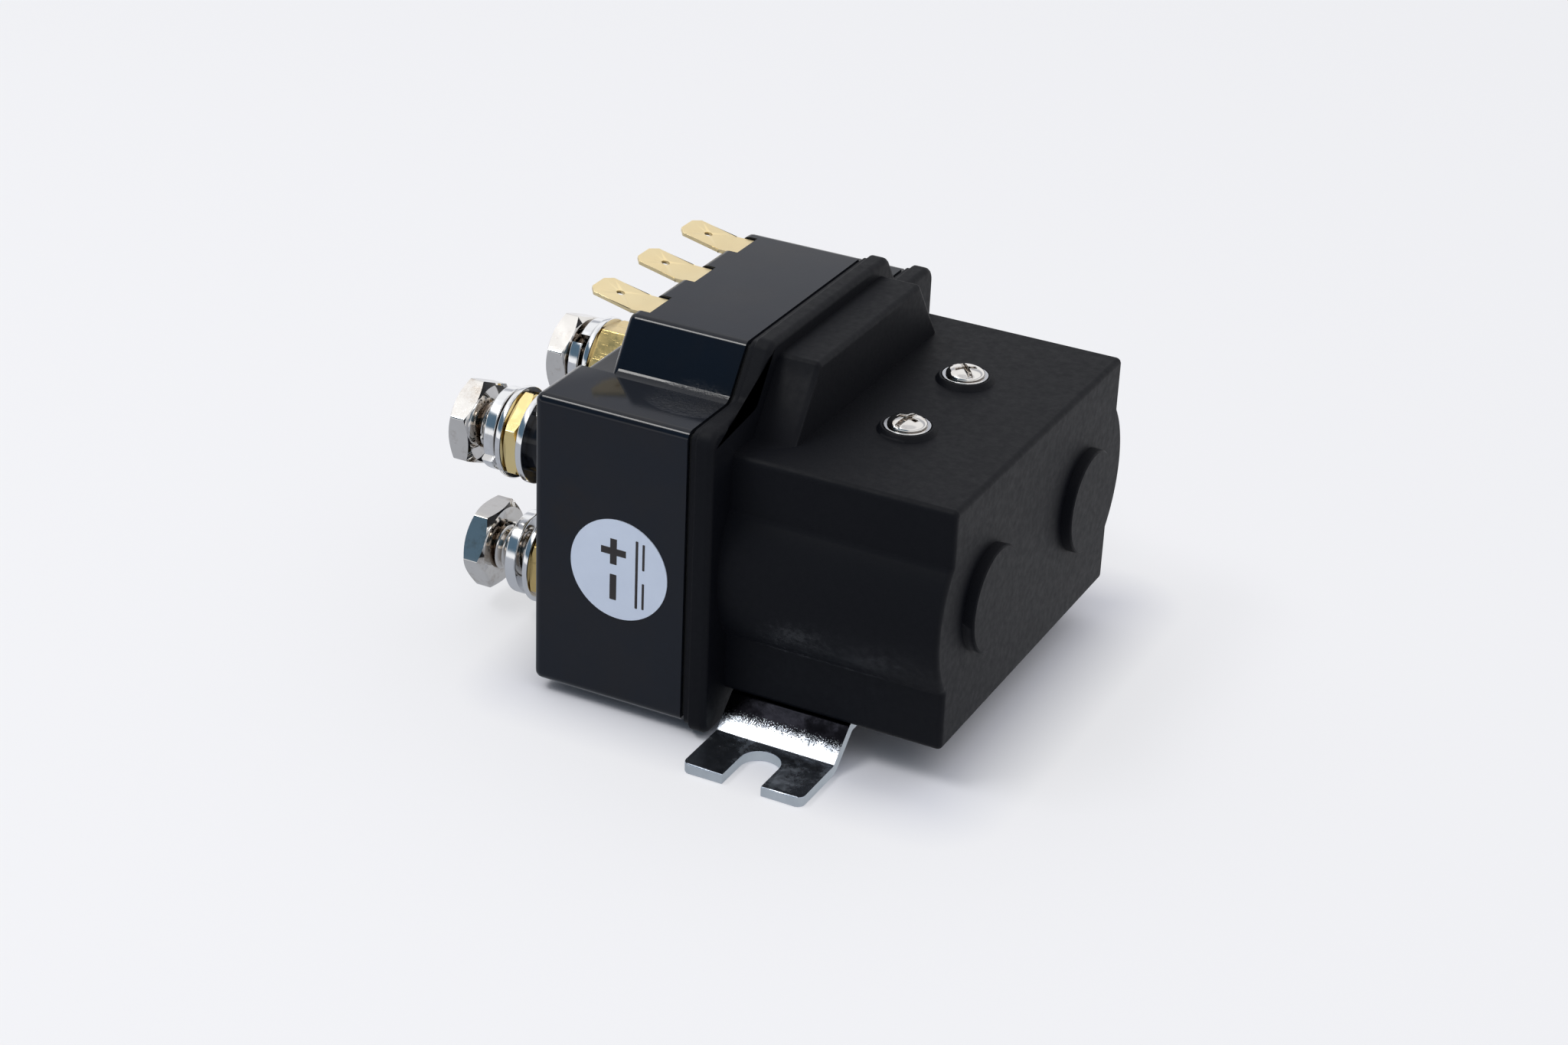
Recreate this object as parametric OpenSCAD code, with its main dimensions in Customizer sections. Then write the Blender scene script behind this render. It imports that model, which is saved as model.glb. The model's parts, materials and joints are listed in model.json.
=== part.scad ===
// Winch relay: a twin-coil relay that switches and reverses a winch motor.
// The terminals point to -X, the rear of the coil housing to +X, and +Z is up.
// The origin lies midway between the two mounting slots, on the surface the feet stand on.
// The near side is -Y, the far side +Y.

/* [Terminal cover] */
// Distance from the mounting centre to the terminal face
face_reach = 41.7; // [38:0.1:46]
// Depth of the cover along X
cover_depth = 26; // [24:0.5:30]
// Width of the cover across both coils
cover_width = 74.4; // [72:0.2:86]
// Clearance below the cover
cover_lift = 1.8; // [1.1:0.1:3]
// Height of the cover's shoulders
shoulder_height = 50.6; // [50:0.1:56]
// Height of the raised middle
plateau_height = 58.3; // [57:0.1:64]
// Width of the raised middle at its top
plateau_width = 38.8; // [37:0.2:44]
// How far the raised middle stands back from the terminal face
plateau_setback = 5.9; // [4.5:0.1:7]
// Sideways run of the slanted risers for each millimetre of height
riser_lean = 0.7; // [0.4:0.05:0.9]
// Depth of the ledge in front of the raised middle
ledge_drop = 1.5; // [0.8:0.1:2]
// Width of the ledge at its floor
ledge_width = 44.6; // [42:0.2:50]
// Sideways run of the ledge's sloping ends
ledge_run = 2.6; // [1.5:0.1:4]
// Wall thickness of the cover
cover_wall = 2.4; // [1.8:0.1:3]
// Wall in front of the raised middle's cavity
plateau_front_wall = 1.55; // [1.2:0.05:2]
// Radius of the cover's long edges
edge_radius = 1.5; // [1.3:0.1:2]
// Radius round the terminal face and the raised middle's front
front_radius = 1.2; // [0.6:0.1:1.2]
// Radius of the hollow corner between shoulder and riser
riser_fillet = 2.4; // [1.5:0.1:3]
// Thickness of the barrier between the two contact sets
barrier_thickness = 1.6; // [1:0.1:3]

/* [Cover seal] */
// Thickness of the seal between cover and housing
seal_thickness = 0.8; // [0.5:0.1:1.2]
// How far the seal lies back from the cover's outline
seal_inset = 0.8; // [0.4:0.1:1.2]
// Width of the seal's band
seal_band = 2.4; // [1.5:0.1:3]

/* [Coil housing] */
// Thickness of the housing's flange
flange_thickness = 3.9; // [3.4:0.1:5]
// How far the flange stands proud of the cover
flange_proud = 1; // [0.4:0.1:1]
// Depth of the lip along the flange's front edge
lip_depth = 0.9; // [0.5:0.1:1.2]
// How far the lip stands proud of the cover
lip_proud = 0.3; // [0.1:0.1:0.4]
// Radius of the flange's front edge, behind the lip
flange_front_radius = 0.4; // [0.2:0.1:0.6]
// Radius of the flange's rear edge
flange_radius = 1; // [0.5:0.1:1.2]
// Length of the block behind the flange
block_length = 36.1; // [34:0.1:44]
// Width of the block
block_width = 63.8; // [62:0.2:68]
// Height of the block's underside
block_lift = 6.5; // [5.5:0.1:8]
// Height of the block's top
block_height = 46.1; // [45.5:0.1:48]
// Radius of the block's edges
block_radius = 1; // [0.9:0.1:1.5]
// Housing wall round the cans, which makes the barrels that bulge from the block's sides
barrel_wall = 1.9; // [1.7:0.1:2.6]
// Radius of the round bosses on the rear
rear_boss_radius = 8.4; // [8.2:0.1:10]
// Height of the round bosses on the rear
rear_boss_height = 1.8; // [1.4:0.1:3]
// Length of the hump behind the raised middle
hump_length = 6.8; // [5:0.1:9]
// How far the hump's top lies below the raised middle's top
hump_step = 1.4; // [0.5:0.1:3]
// How far the hump's sides stand back from the raised middle's sides
hump_inset = 1.75; // [0.5:0.05:3]
// Wall thickness of the hump
hump_wall = 2; // [1.4:0.1:3]

/* [Coils] */
// Distance between the two coil axes
coil_spacing = 37.2; // [36:0.2:40]
// How far the coil axes lie above the block's middle
coil_raise = 0.3; // [0:0.1:0.6]
// Radius of the steel cans
can_radius = 15; // [14.5:0.1:15.2]
// Wall of the steel can
can_wall = 1.2; // [0.8:0.1:1.4]
// Thickness of the can's closed end
can_end = 1.5; // [1:0.1:2]
// Gap between can and housing
can_clearance = 0.2; // [0.1:0.05:0.4]
// Wall of the bobbin's tube
bobbin_wall = 1.1; // [0.8:0.1:1.6]
// Thickness of the bobbin's end flanges
bobbin_flange = 1.2; // [0.8:0.1:2]
// Gap between the copper winding and the can
winding_clearance = 1; // [0.9:0.1:2]
// Thickness of the yoke plate
yoke_thickness = 3; // [2.5:0.1:3.2]
// Width of the yoke plate
yoke_width = 61.6; // [60:0.2:62]
// Height of the yoke plate
yoke_height = 32; // [30:0.5:33]
// Radius of the plunger
plunger_radius = 6.8; // [6:0.1:7]
// Radial play of the plunger in the bobbin
plunger_play = 0.1; // [0.05:0.01:0.1]
// Length of the fixed core inside the coil
core_length = 9.2; // [8.5:0.1:11]
// Magnetic gap between core and plunger at rest
plunger_gap = 3; // [2.8:0.1:3.5]
// Play left behind the plunger at rest
rear_play = 0.3; // [0.2:0.05:0.5]
// Depth of the plunger's pocket in the rear bosses
tail_pocket = 4.1; // [3.6:0.1:4.4]

/* [Contacts] */
// Travel of the plungers
travel = 2.5; // [2:0.1:2.6]
// Gap left between the contact tips at full travel
closed_gap = 0.1; // [0.05:0.01:0.2]
// Distance of the contact tips above and below the coil axis
tip_offset = 11; // [10:0.1:12]
// Radius of the fixed contact tips
tip_radius = 2.8; // [2:0.1:3]
// Thickness of the contact tips
tip_thickness = 1; // [0.6:0.1:1.2]
// Thickness of the fixed contact plates
plate_thickness = 1.6; // [1.2:0.1:2]
// Width of the fixed contact plates
plate_width = 11; // [10.5:0.1:13]
// Thickness of the moving contact bridge
bridge_thickness = 2; // [1.5:0.1:2.5]
// Width of the moving contact bridge
bridge_width = 9; // [7:0.1:11]
// Length of the bridge beyond each tip's centre
bridge_overhang = 3; // [2.8:0.1:4]
// Radius of the push rod
rod_radius = 2; // [1.6:0.1:2.1]
// Radial play of the push rod in the core
rod_play = 0.08; // [0.05:0.01:0.1]
// Length of the push rod pressed into the plunger
rod_seat = 6; // [5:0.5:8]
// Free length between bridge and rod collar, filled by the contact spring
contact_spring_length = 8; // [7:0.1:9]
// Wire radius of the contact and return springs
spring_wire = 0.4; // [0.3:0.05:0.45]
// Depth of the return spring's seat in the fixed core
spring_seat_depth = 6; // [5:0.1:7]

/* [Terminals] */
// Distance between the near and far terminal axes
terminal_spacing = 30.6; // [30:0.1:36]
// Height of the upper terminals
upper_height = 31.4; // [31:0.1:33]
// Height of the lower terminals
lower_height = 10.4; // [10:0.1:11.5]
// Length of the moulded bosses below the upper terminals
upper_boss = 11; // [10:0.5:13]
// Length of the moulded bosses below the lower terminals
lower_boss = 5; // [4:0.5:7]
// Wall of the moulded terminal bosses
boss_wall = 1; // [0.8:0.1:1.4]
// Radius of the brass posts inside the bosses
post_radius = 4.65; // [4.6:0.05:5]
// Radial gap between post and boss
post_clearance = 0.05; // [0.02:0.01:0.1]
// Thickness of the brass hexagon on the lower posts
lower_hex = 4.9; // [4:0.1:7]
// Thickness of the brass hexagon on the far upper post
far_upper_hex = 6.3; // [5:0.1:8]
// Thickness of the loose brass nut on the near upper post
post_nut_thickness = 2.7; // [2.4:0.1:4]
// Thickness of the thin washer below that nut
post_washer_thickness = 1.2; // [0.8:0.1:1.6]
// Size across the flats of bolts, nut and posts
hex_flats = 13; // [12.5:0.1:14]
// Radius of the bolts' thread
bolt_radius = 4; // [3.8:0.05:4]
// Radial clearance of the thread in its hole
thread_clearance = 0.05; // [0.02:0.01:0.1]
// Thread pitch of the bolts
bolt_pitch = 1.25; // [1:0.05:1.5]
// Length of the bolts below the head
bolt_length = 16; // [14:0.5:17]
// Height of the bolt heads
bolt_head = 3.9; // [3.5:0.1:6]
// Radius of the flat washers
washer_radius = 7.5; // [7.2:0.1:8]
// Thickness of the flat washers
washer_thickness = 1; // [0.8:0.1:1.4]
// Radius of the lock washers
lock_radius = 6.8; // [6.4:0.1:7.2]
// Thickness of the lock washers
lock_thickness = 2; // [1.6:0.1:2.2]
// How far a lock washer's ends are sprung apart
lock_rise = 0.9; // [0.5:0.1:1.2]
// Gap between flat and lock washer on the near upper terminal
near_lock_gap = 0.5; // [0.3:0.1:0.8]
// Gap between flat and lock washer on the far upper terminal
far_lock_gap = 0.2; // [0.1:0.1:0.8]
// Gap between flat and lock washer on the lower terminals
lower_lock_gap = 1.4; // [0.3:0.1:1.6]
// Gap between lock washer and head on the near upper terminal
near_head_gap = 1.9; // [1:0.1:2.2]
// Gap between lock washer and head on the far upper terminal
far_head_gap = 0.3; // [0.1:0.1:1.8]
// Gap between lock washer and head on the lower terminals
lower_head_gap = 3.4; // [3:0.1:4.2]

/* [Blade tabs] */
// Distance between neighbouring tabs
tab_pitch = 14.1; // [13.6:0.1:15]
// Width of a tab
tab_width = 6.3; // [6:0.05:6.4]
// Thickness of a tab
tab_thickness = 0.6; // [0.5:0.05:0.9]
// Length of the blade in front of its bend
blade_length = 7.8; // [7:0.1:9]
// Upward slope of the blade in degrees
blade_angle = 12.8; // [8:0.2:18]
// Distance of the bend in front of the raised middle
tab_bend = 0.95; // [0.8:0.05:2]
// Length of the tab's root on the raised middle
tab_root = 2.6; // [2.4:0.05:3]
// Distance of the blade's hole from its tip
tab_hole_inset = 4.1; // [3.6:0.1:4.4]
// Radius of the blade's hole
tab_hole = 0.65; // [0.5:0.05:1]
// Clearance round a tab in its notch
tab_clearance = 0.3; // [0.2:0.05:0.4]
// How far a tab lies below the raised middle's top
tab_sink = 0.35; // [0.2:0.05:0.6]
// Height at which a tab's leg ends inside the cover
tab_leg_end = 47.5; // [46:0.1:49]
// Radius of the insulated coil leads
lead_radius = 0.8; // [0.6:0.1:0.9]
// Room between a lead and the walls it passes
lead_clearance = 0.8; // [0.6:0.1:1]

/* [Mounting bracket] */
// Thickness of the bracket's steel
bracket_thickness = 1.7; // [1.6:0.1:2.2]
// Width of the bracket along X
bracket_width = 20; // [18:0.2:20]
// Distance between the two slots' centres
slot_spacing = 82; // [81:0.5:88]
// Width of the open slots
slot_width = 6.4; // [6:0.1:7]
// Length of the feet beyond the slots' centres
foot_overhang = 5.9; // [5:0.1:7]
// Distance between the bends beside the block
riser_spacing = 61.8; // [61:0.2:62.4]
// Sideways run of each slanted riser
riser_run = 5.3; // [4.8:0.1:5.6]
// Inner radius of the bends
bend_radius = 0.8; // [0.5:0.1:1]

/* [Small screws] */
// Distance between the two top screws
screw_spacing = 21.2; // [20:0.2:23]
// Distance of the top screws behind the mounting centre
screw_x = 7.2; // [6:0.1:12]
// Thread radius of the top screws
screw_radius = 1.5; // [1.4:0.1:1.6]
// Length of the top screws
screw_length = 4.5; // [4:0.1:4.8]
// Head radius of the top screws
screw_head_radius = 3.05; // [2.8:0.05:3.2]
// Head height of the top screws
screw_head_height = 1.2; // [1:0.1:1.6]
// Radius of the washers below the top screws
screw_washer_radius = 3.6; // [3.4:0.1:3.8]
// Thickness of the washers below the top screws
screw_washer_thickness = 0.5; // [0.3:0.1:0.8]
// Outer radius of the moulded collars round the top screws, at their foot
collar_radius = 4.65; // [4.5:0.05:5.2]
// Height of the moulded collars
collar_height = 0.85; // [0.6:0.05:1.2]
// Thread radius of the bracket screws
bracket_screw_radius = 2; // [1.8:0.1:2.1]
// Head radius of the bracket screws
bracket_screw_head = 3.8; // [3.4:0.1:4]
// Head height of the bracket screws
bracket_screw_height = 2; // [1.6:0.1:2.2]
// Length of the bracket screws
bracket_screw_length = 7; // [6:0.1:7]

/* [Label] */
// Radius of the round label
label_radius = 8.3; // [7:0.1:9]
// Thickness of the label
label_thickness = 0.2; // [0.1:0.05:0.3]
// Distance of the label's centre behind the terminal face
label_x = 15; // [12:0.1:16]
// Height of the label's centre
label_height = 25.1; // [22:0.1:30]

/* [Hidden] */
$fn = 64;
near = -1;
far = 1;
sides = [near, far];
// A hair of overlap, for cuts that run out of a face
eps = 0.02;
// How far a cut runs out past the face it opens
over = 1;
arc_steps = 6;
rim_steps = 4;

// Clearances and small steps of the hidden pieces
boss_end_wall = 1.3;
boss_chamfer = 0.3;
pocket_clearance = 0.3;
can_hole_clearance = 0.1;
yoke_clearance = 0.2;
spigot_radius = 5;
press_clearance = 0.02;
slide_clearance = 0.05;
screw_clearance = 0.05;
washer_clearance = 0.2;
tube_clearance = 0.1;
flange_clearance = 0.2;
clip_thickness = 0.7;
clip_width = 1.4;
clip_depth = 0.5;
rod_tip = 0.5;
rod_collar_step = 1.6;
rod_collar_thickness = 1;
spring_clearance = 0.35;
plunger_chamfer = 0.5;
thread_runout = 0.6;

// Places along X, from the terminal face to the rear
face_x = -face_reach;
cover_rear_x = face_x + cover_depth;
inner_face_x = face_x + cover_wall;
plateau_x = face_x + plateau_setback;
plateau_cavity_x = plateau_x + plateau_front_wall;
flange_x = cover_rear_x + seal_thickness;
block_x = flange_x + flange_thickness;
rear_x = block_x + block_length;
yoke_x = block_x - yoke_thickness;
pocket_end_x = rear_x + rear_boss_height - boss_end_wall;
can_rear_x = pocket_end_x - tail_pocket;
bobbin_rear_x = can_rear_x - can_end;
core_face_x = block_x + core_length;
plunger_x = core_face_x + plunger_gap;
plunger_rear_x = pocket_end_x - rear_play;

// Contacts, worked out from the inner face towards the coils
plate_face_x = inner_face_x + plate_thickness;
fixed_tip_face_x = plate_face_x + tip_thickness;
moving_tip_face_x = fixed_tip_face_x + closed_gap + travel;
bridge_face_x = moving_tip_face_x + tip_thickness;
bridge_rear_x = bridge_face_x + bridge_thickness;
collar_x = bridge_rear_x + contact_spring_length;
rod_end_x = bridge_face_x - clip_thickness - rod_tip;
rod_collar_radius = rod_radius + rod_collar_step;
spring_mid_radius = rod_radius + spring_wire + spring_clearance;
groove_radius = rod_radius - clip_depth;
// Rounding of the block's rear rims, which leaves its corners a small radius of their own
rim_radius = block_radius - 0.1;

// Heights and radii that follow from one another
hump_height = plateau_height - hump_step;
cavity_depth = 1.1;
cavity_floor_z = block_height - cavity_depth;
common_z = cavity_floor_z + lead_radius + lead_clearance;
coil_height = (block_lift + block_height) / 2 + coil_raise;
yoke_top_z = coil_height + yoke_height / 2;
bobbin_bore = plunger_radius + plunger_play;
bobbin_tube = bobbin_bore + bobbin_wall;
can_bore = can_radius - can_wall;
housing_bore = can_radius + can_clearance;
barrel_radius = housing_bore + barrel_wall;
winding_inner = bobbin_tube + tube_clearance;
winding_outer = can_bore - winding_clearance;
rod_bore = rod_radius + rod_play;
post_bore = post_radius + post_clearance;
boss_radius = post_bore + boss_wall;
hex_corner = hex_flats / 2 / cos(30);
thread_bore = bolt_radius + thread_clearance;
thread_root = bolt_radius - 0.61 * bolt_pitch;
washer_bore = bolt_radius + washer_clearance;

plateau_half = plateau_width / 2;
hump_half = plateau_half - hump_inset;
hump_inner = hump_half - hump_wall;
coil_y = coil_spacing / 2;
terminal_y = terminal_spacing / 2;

// Each terminal: side, height, boss length, brass hexagon, loose stack below the flat washer,
// the two gaps of the loose bolt, and the turn of its bolt head and hexagon
near_upper = [near, upper_height, upper_boss, 0, post_washer_thickness + post_nut_thickness,
    near_lock_gap, near_head_gap, 36, 35];
near_lower = [near, lower_height, lower_boss, lower_hex, 0, lower_lock_gap, lower_head_gap, 3, 22];
far_upper = [far, upper_height, upper_boss, far_upper_hex, 0, far_lock_gap, far_head_gap, 38, 51];
far_lower = [far, lower_height, lower_boss, lower_hex, 0, lower_lock_gap, lower_head_gap, 15, 10];
terminals = [near_upper, near_lower, far_upper, far_lower];

function terminal_yz(t) = [t[0] * terminal_y, t[1]];
function boss_top_x(t) = face_x - t[2];
function seat_x(t) = boss_top_x(t) - t[3] - t[4];
function lock_x(t) = seat_x(t) - washer_thickness - t[5];
function head_x(t) = lock_x(t) - lock_thickness - lock_rise - t[6];
function tip_yz(t) = [t[0] * coil_y, coil_height + (t[1] > coil_height ? tip_offset : -tip_offset)];

// Outline corners are [y, z, radius]; rounded() turns them into points with true round stretches
function unit(v) = v / norm(v);
function turn_between(a, b) = b - a > 180 ? b - a - 360 : b - a < -180 ? b - a + 360 : b - a;
function corner_arc(before, here, after, r) =
    let(u = unit(before - here), v = unit(after - here), half = acos(u * v) / 2)
    let(centre = here + unit(u + v) * r / sin(half), reach = r / tan(half))
    let(start = here + u * reach - centre, end = here + v * reach - centre)
    let(a = atan2(start.y, start.x), sweep = turn_between(a, atan2(end.y, end.x)))
    [for (i = [0:arc_steps]) centre + r * [cos(a + sweep * i / arc_steps), sin(a + sweep * i / arc_steps)]];
function flat_point(c) = [c[0], c[1]];
function rounded(corners) =
    let(n = len(corners))
    [for (i = [0:n - 1])
        each corner_arc(flat_point(corners[(i + n - 1) % n]), flat_point(corners[i]),
            flat_point(corners[(i + 1) % n]), corners[i][2])];

// The relay's outline seen along X, grown outwards by g
function house_corners(g) =
    let(half = cover_width / 2 + g, low = cover_lift - g, shoulder = shoulder_height + g)
    let(top = plateau_height + g, slant = sqrt(1 + riser_lean * riser_lean))
    let(top_y = plateau_half + g * (slant - riser_lean), foot_y = top_y + riser_lean * (top - shoulder))
    [[-half, low, edge_radius + g], [half, low, edge_radius + g], [half, shoulder, edge_radius + g],
        [foot_y, shoulder, riser_fillet - g], [top_y, top, edge_radius + g],
        [-top_y, top, edge_radius + g], [-foot_y, shoulder, riser_fillet - g],
        [-half, shoulder, edge_radius + g]];
function house(g) = rounded(house_corners(g));

// The cover's lower body, without the raised middle
function chest(g) =
    let(half = cover_width / 2 + g, low = cover_lift - g, shoulder = shoulder_height + g)
    rounded([[-half, low, edge_radius + g], [half, low, edge_radius + g],
        [half, shoulder, edge_radius + g], [-half, shoulder, edge_radius + g]]);

// The raised middle, down to a root inside the lower body
root_depth = 4;
function crown(g) =
    let(c = house_corners(g), root = shoulder_height - root_depth, r = edge_radius + g)
    let(top_y = c[4][0], top = c[4][1], root_y = top_y + riser_lean * (top - root))
    rounded([[root_y, root, 0.5], [top_y, top, r], [-top_y, top, r], [-root_y, root, 0.5]]);

// The hollow corner between shoulder and riser, its ends sunk a hair into both
function riser_corner() =
    let(c = house_corners(0), here = flat_point(c[3]))
    let(arc = corner_arc(flat_point(c[2]), here, flat_point(c[4]), riser_fillet))
    let(sink = 1.5 * eps * unit(here - arc[arc_steps / 2]))
    concat([for (p = arc) p + sink], [here - [1, 1.5]]);

// The block behind the flange
function block_outline(g) =
    let(half = block_width / 2 + g, low = block_lift - g, top = block_height + g, r = block_radius + g)
    rounded([[-half, low, r], [half, low, r], [half, top, r], [-half, top, r]]);

// The hump above the block's top, its foot sunk a little into the block
hump_root = 1.2;
function hump_outline(g) =
    let(top = hump_height + g, low = block_height - hump_root, slant = sqrt(1 + riser_lean * riser_lean))
    let(top_y = hump_half + g * (slant - riser_lean), low_y = top_y + riser_lean * (top - low))
    rounded([[-low_y, low, 0.2], [low_y, low, 0.2], [top_y, top, block_radius + g],
        [-top_y, top, block_radius + g]]);

function ring(outline, x) = [for (p = outline) [x, p.x, p.y]];
// Stations [x, inset] of an edge rounded by r, which ends on the plane at x
function rear_rim(x, r) =
    [for (i = [0:rim_steps]) let(a = 90 * i / rim_steps) [x - r + r * sin(a), r * cos(a) - r]];
function front_rim(x, r) =
    [for (i = [rim_steps:-1:0]) let(a = 90 * i / rim_steps) [x + r - r * sin(a), r * cos(a) - r]];

// A closed solid through rings of points that all have the same count; twisted sides are split
module loft(rings, split = false) {
    n = len(rings[0]);
    last = (len(rings) - 1) * n;
    polyhedron(
        points = [for (r = rings) each r],
        faces = concat(
            [[for (i = [0:n - 1]) i]],
            [[for (i = [n - 1:-1:0]) last + i]],
            [for (k = [0:len(rings) - 2], i = [0:n - 1])
                let(j = (i + 1) % n, a = k * n + i, b = (k + 1) * n + i, c = (k + 1) * n + j, d = k * n + j)
                each (split ? [[a, b, c], [a, c, d]] : [[a, b, c, d]])]));
}

// A flat shape in Y and Z, drawn out along X
module along_x(x0, x1) {
    translate([x0, 0, 0]) rotate([90, 0, 90]) linear_extrude(x1 - x0) children();
}

// A flat shape in X and Z, drawn out along Y
module along_y(y0, y1) {
    translate([0, y1, 0]) rotate([90, 0, 0]) linear_extrude(y1 - y0) children();
}

module rod_x(x0, x1, r) {
    translate([x0, 0, 0]) rotate([0, 90, 0]) cylinder(h = x1 - x0, r = r);
}

// A profile of [radius, x] points turned about the X axis
module turned(profile) {
    rotate([90, 0, 90]) rotate_extrude() polygon(profile);
}

module at_coil(side) {
    translate([0, side * coil_y, coil_height]) children();
}

module at_terminal(t) {
    translate([0, terminal_yz(t).x, terminal_yz(t).y]) children();
}

// A hexagon bar along X with one corner at the given angle above +Y
module hexagon_x(x0, x1, angle) {
    translate([x0, 0, 0]) rotate([0, 90, 0]) rotate([0, 0, angle + 90])
        cylinder(h = x1 - x0, r = hex_corner, $fn = 6);
}

// A round bar along a list of points; its sides are laid out from a reference direction
module swept(path, r, count, reference) {
    n = len(path);
    rings = [for (i = [0:n - 1])
        let(t = unit(path[min(i + 1, n - 1)] - path[max(i - 1, 0)]))
        let(u = unit(cross(t, reference)), v = cross(t, u))
        [for (k = [0:count - 1]) path[i] + r * (u * cos(360 * k / count) - v * sin(360 * k / count))]];
    mirror_order = [for (one = rings) [for (k = [count - 1:-1:0]) one[k]]];
    loft(mirror_order, true);
}

// Smooth points through a hand-chosen route
function blend_point(p, q, r, s, t) =
    0.5 * (2 * q + (r - p) * t + (2 * p - 5 * q + 4 * r - s) * t * t + (3 * q - p - 3 * r + s) * t * t * t);
function smooth_route(route, steps) =
    let(n = len(route))
    [for (i = [0:n - 2], k = [0:i == n - 2 ? steps : steps - 1])
        blend_point(route[max(i - 1, 0)], route[i], route[i + 1], route[min(i + 2, n - 1)], k / steps)];

module cover_shape() {
    difference() {
        loft([for (s = concat(front_rim(face_x, front_radius), [[cover_rear_x, 0]])) ring(chest(s[1]), s[0])]);
        ledge_cut();
    }
    loft([for (s = concat(front_rim(plateau_x, front_radius), [[cover_rear_x, 0]])) ring(crown(s[1]), s[0])]);
    along_x(plateau_x + front_radius, cover_rear_x) polygon(riser_corner());
    mirror([0, 1, 0]) along_x(plateau_x + front_radius, cover_rear_x) polygon(riser_corner());
    for (t = terminals) at_terminal(t) rod_x(boss_top_x(t), face_x + eps, boss_radius);
}

// The lowered step between the shoulders, with its own rounded front edge
module ledge_cut() {
    floor_z = shoulder_height - ledge_drop;
    half = ledge_width / 2;
    rim = half + ledge_run;
    along_x(face_x - over, plateau_x + front_radius)
        polygon([[-half, floor_z], [half, floor_z], [rim, shoulder_height + eps],
            [rim, shoulder_height + over], [-rim, shoulder_height + over], [-rim, shoulder_height + eps]]);
    along_y(-half, half)
        difference() {
            translate([face_x - over, floor_z - front_radius]) square([over + front_radius, front_radius + eps]);
            translate([face_x + front_radius, floor_z - front_radius]) circle(front_radius);
        }
}

module tab_notch(y) {
    root_z = plateau_height - tab_sink - tab_thickness;
    half = tab_width / 2 + tab_clearance;
    translate([plateau_x - over, y - half, root_z])
        cube([tab_root + over + eps, 2 * half, tab_sink + tab_thickness + over]);
    translate([plateau_x + tab_root - tab_thickness - slide_clearance, y - half, tab_leg_end])
        cube([tab_thickness + slide_clearance + eps, 2 * half, root_z - tab_leg_end + eps]);
}

// The barrier ends short of the seal, below the tabs' legs and below the leads
barrier_seal_gap = 3;
barrier_leg_gap = 4.5;
barrier_lead_gap = 0.3;
barrier_rear_x = cover_rear_x - barrier_seal_gap;
barrier_top_z = min(tab_leg_end - barrier_leg_gap, common_z - lead_radius - barrier_lead_gap);

module terminal_cover() {
    color([0.05, 0.055, 0.07]) difference() {
        union() {
            difference() {
                cover_shape();
                along_x(inner_face_x, cover_rear_x + over) polygon(chest_cavity());
                along_x(plateau_cavity_x, cover_rear_x + over) polygon(crown_cavity());
            }
            translate([inner_face_x - eps, -barrier_thickness / 2, cover_lift + cover_wall - eps])
                cube([barrier_rear_x - inner_face_x, barrier_thickness, barrier_top_z - cover_lift - cover_wall]);
        }
        for (t = terminals) at_terminal(t) rod_x(boss_top_x(t) - over, inner_face_x + over, post_bore);
        for (i = [-1:1]) tab_notch(i * tab_pitch);
    }
}

// The hollow of the lower body, one wall inside it all round
function chest_cavity() =
    let(half = cover_width / 2 - cover_wall, low = cover_lift + cover_wall, top = shoulder_height - cover_wall)
    rounded([[-half, low, 0.5], [half, low, 0.5], [half, top, 0.5], [-half, top, 0.5]]);

// The hollow of the raised middle, one wall inside its slanted sides
function crown_cavity() =
    let(slant = sqrt(1 + riser_lean * riser_lean), top = plateau_height - cover_wall)
    let(top_y = plateau_half - cover_wall * (slant - riser_lean), low = shoulder_height - cover_wall - over)
    [[-top_y - riser_lean * (top - low), low], [top_y + riser_lean * (top - low), low], [top_y, top], [-top_y, top]];

module cover_gasket() {
    color([0.02, 0.02, 0.02]) along_x(cover_rear_x, flange_x) difference() {
        polygon(house(-seal_inset));
        seal_opening();
    }
}

// The opening inside the seal
module seal_opening() {
    inset = seal_inset + seal_band;
    half = cover_width / 2 - inset;
    translate([-half, cover_lift + inset]) square([2 * half, shoulder_height - cover_lift - 2 * inset]);
    translate([-hump_inner, shoulder_height - inset - eps])
        square([2 * hump_inner, plateau_height - shoulder_height + eps]);
}

// Where block, barrels and hump begin inside the flange, each at a depth of its own
block_overlap = 1.6;
barrel_overlap = 1.3;
hump_overlap = 1;
block_start_x = block_x - block_overlap;
barrel_start_x = block_x - barrel_overlap;
hump_start_x = block_x - hump_overlap;
lip_step = 0.05;

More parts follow.
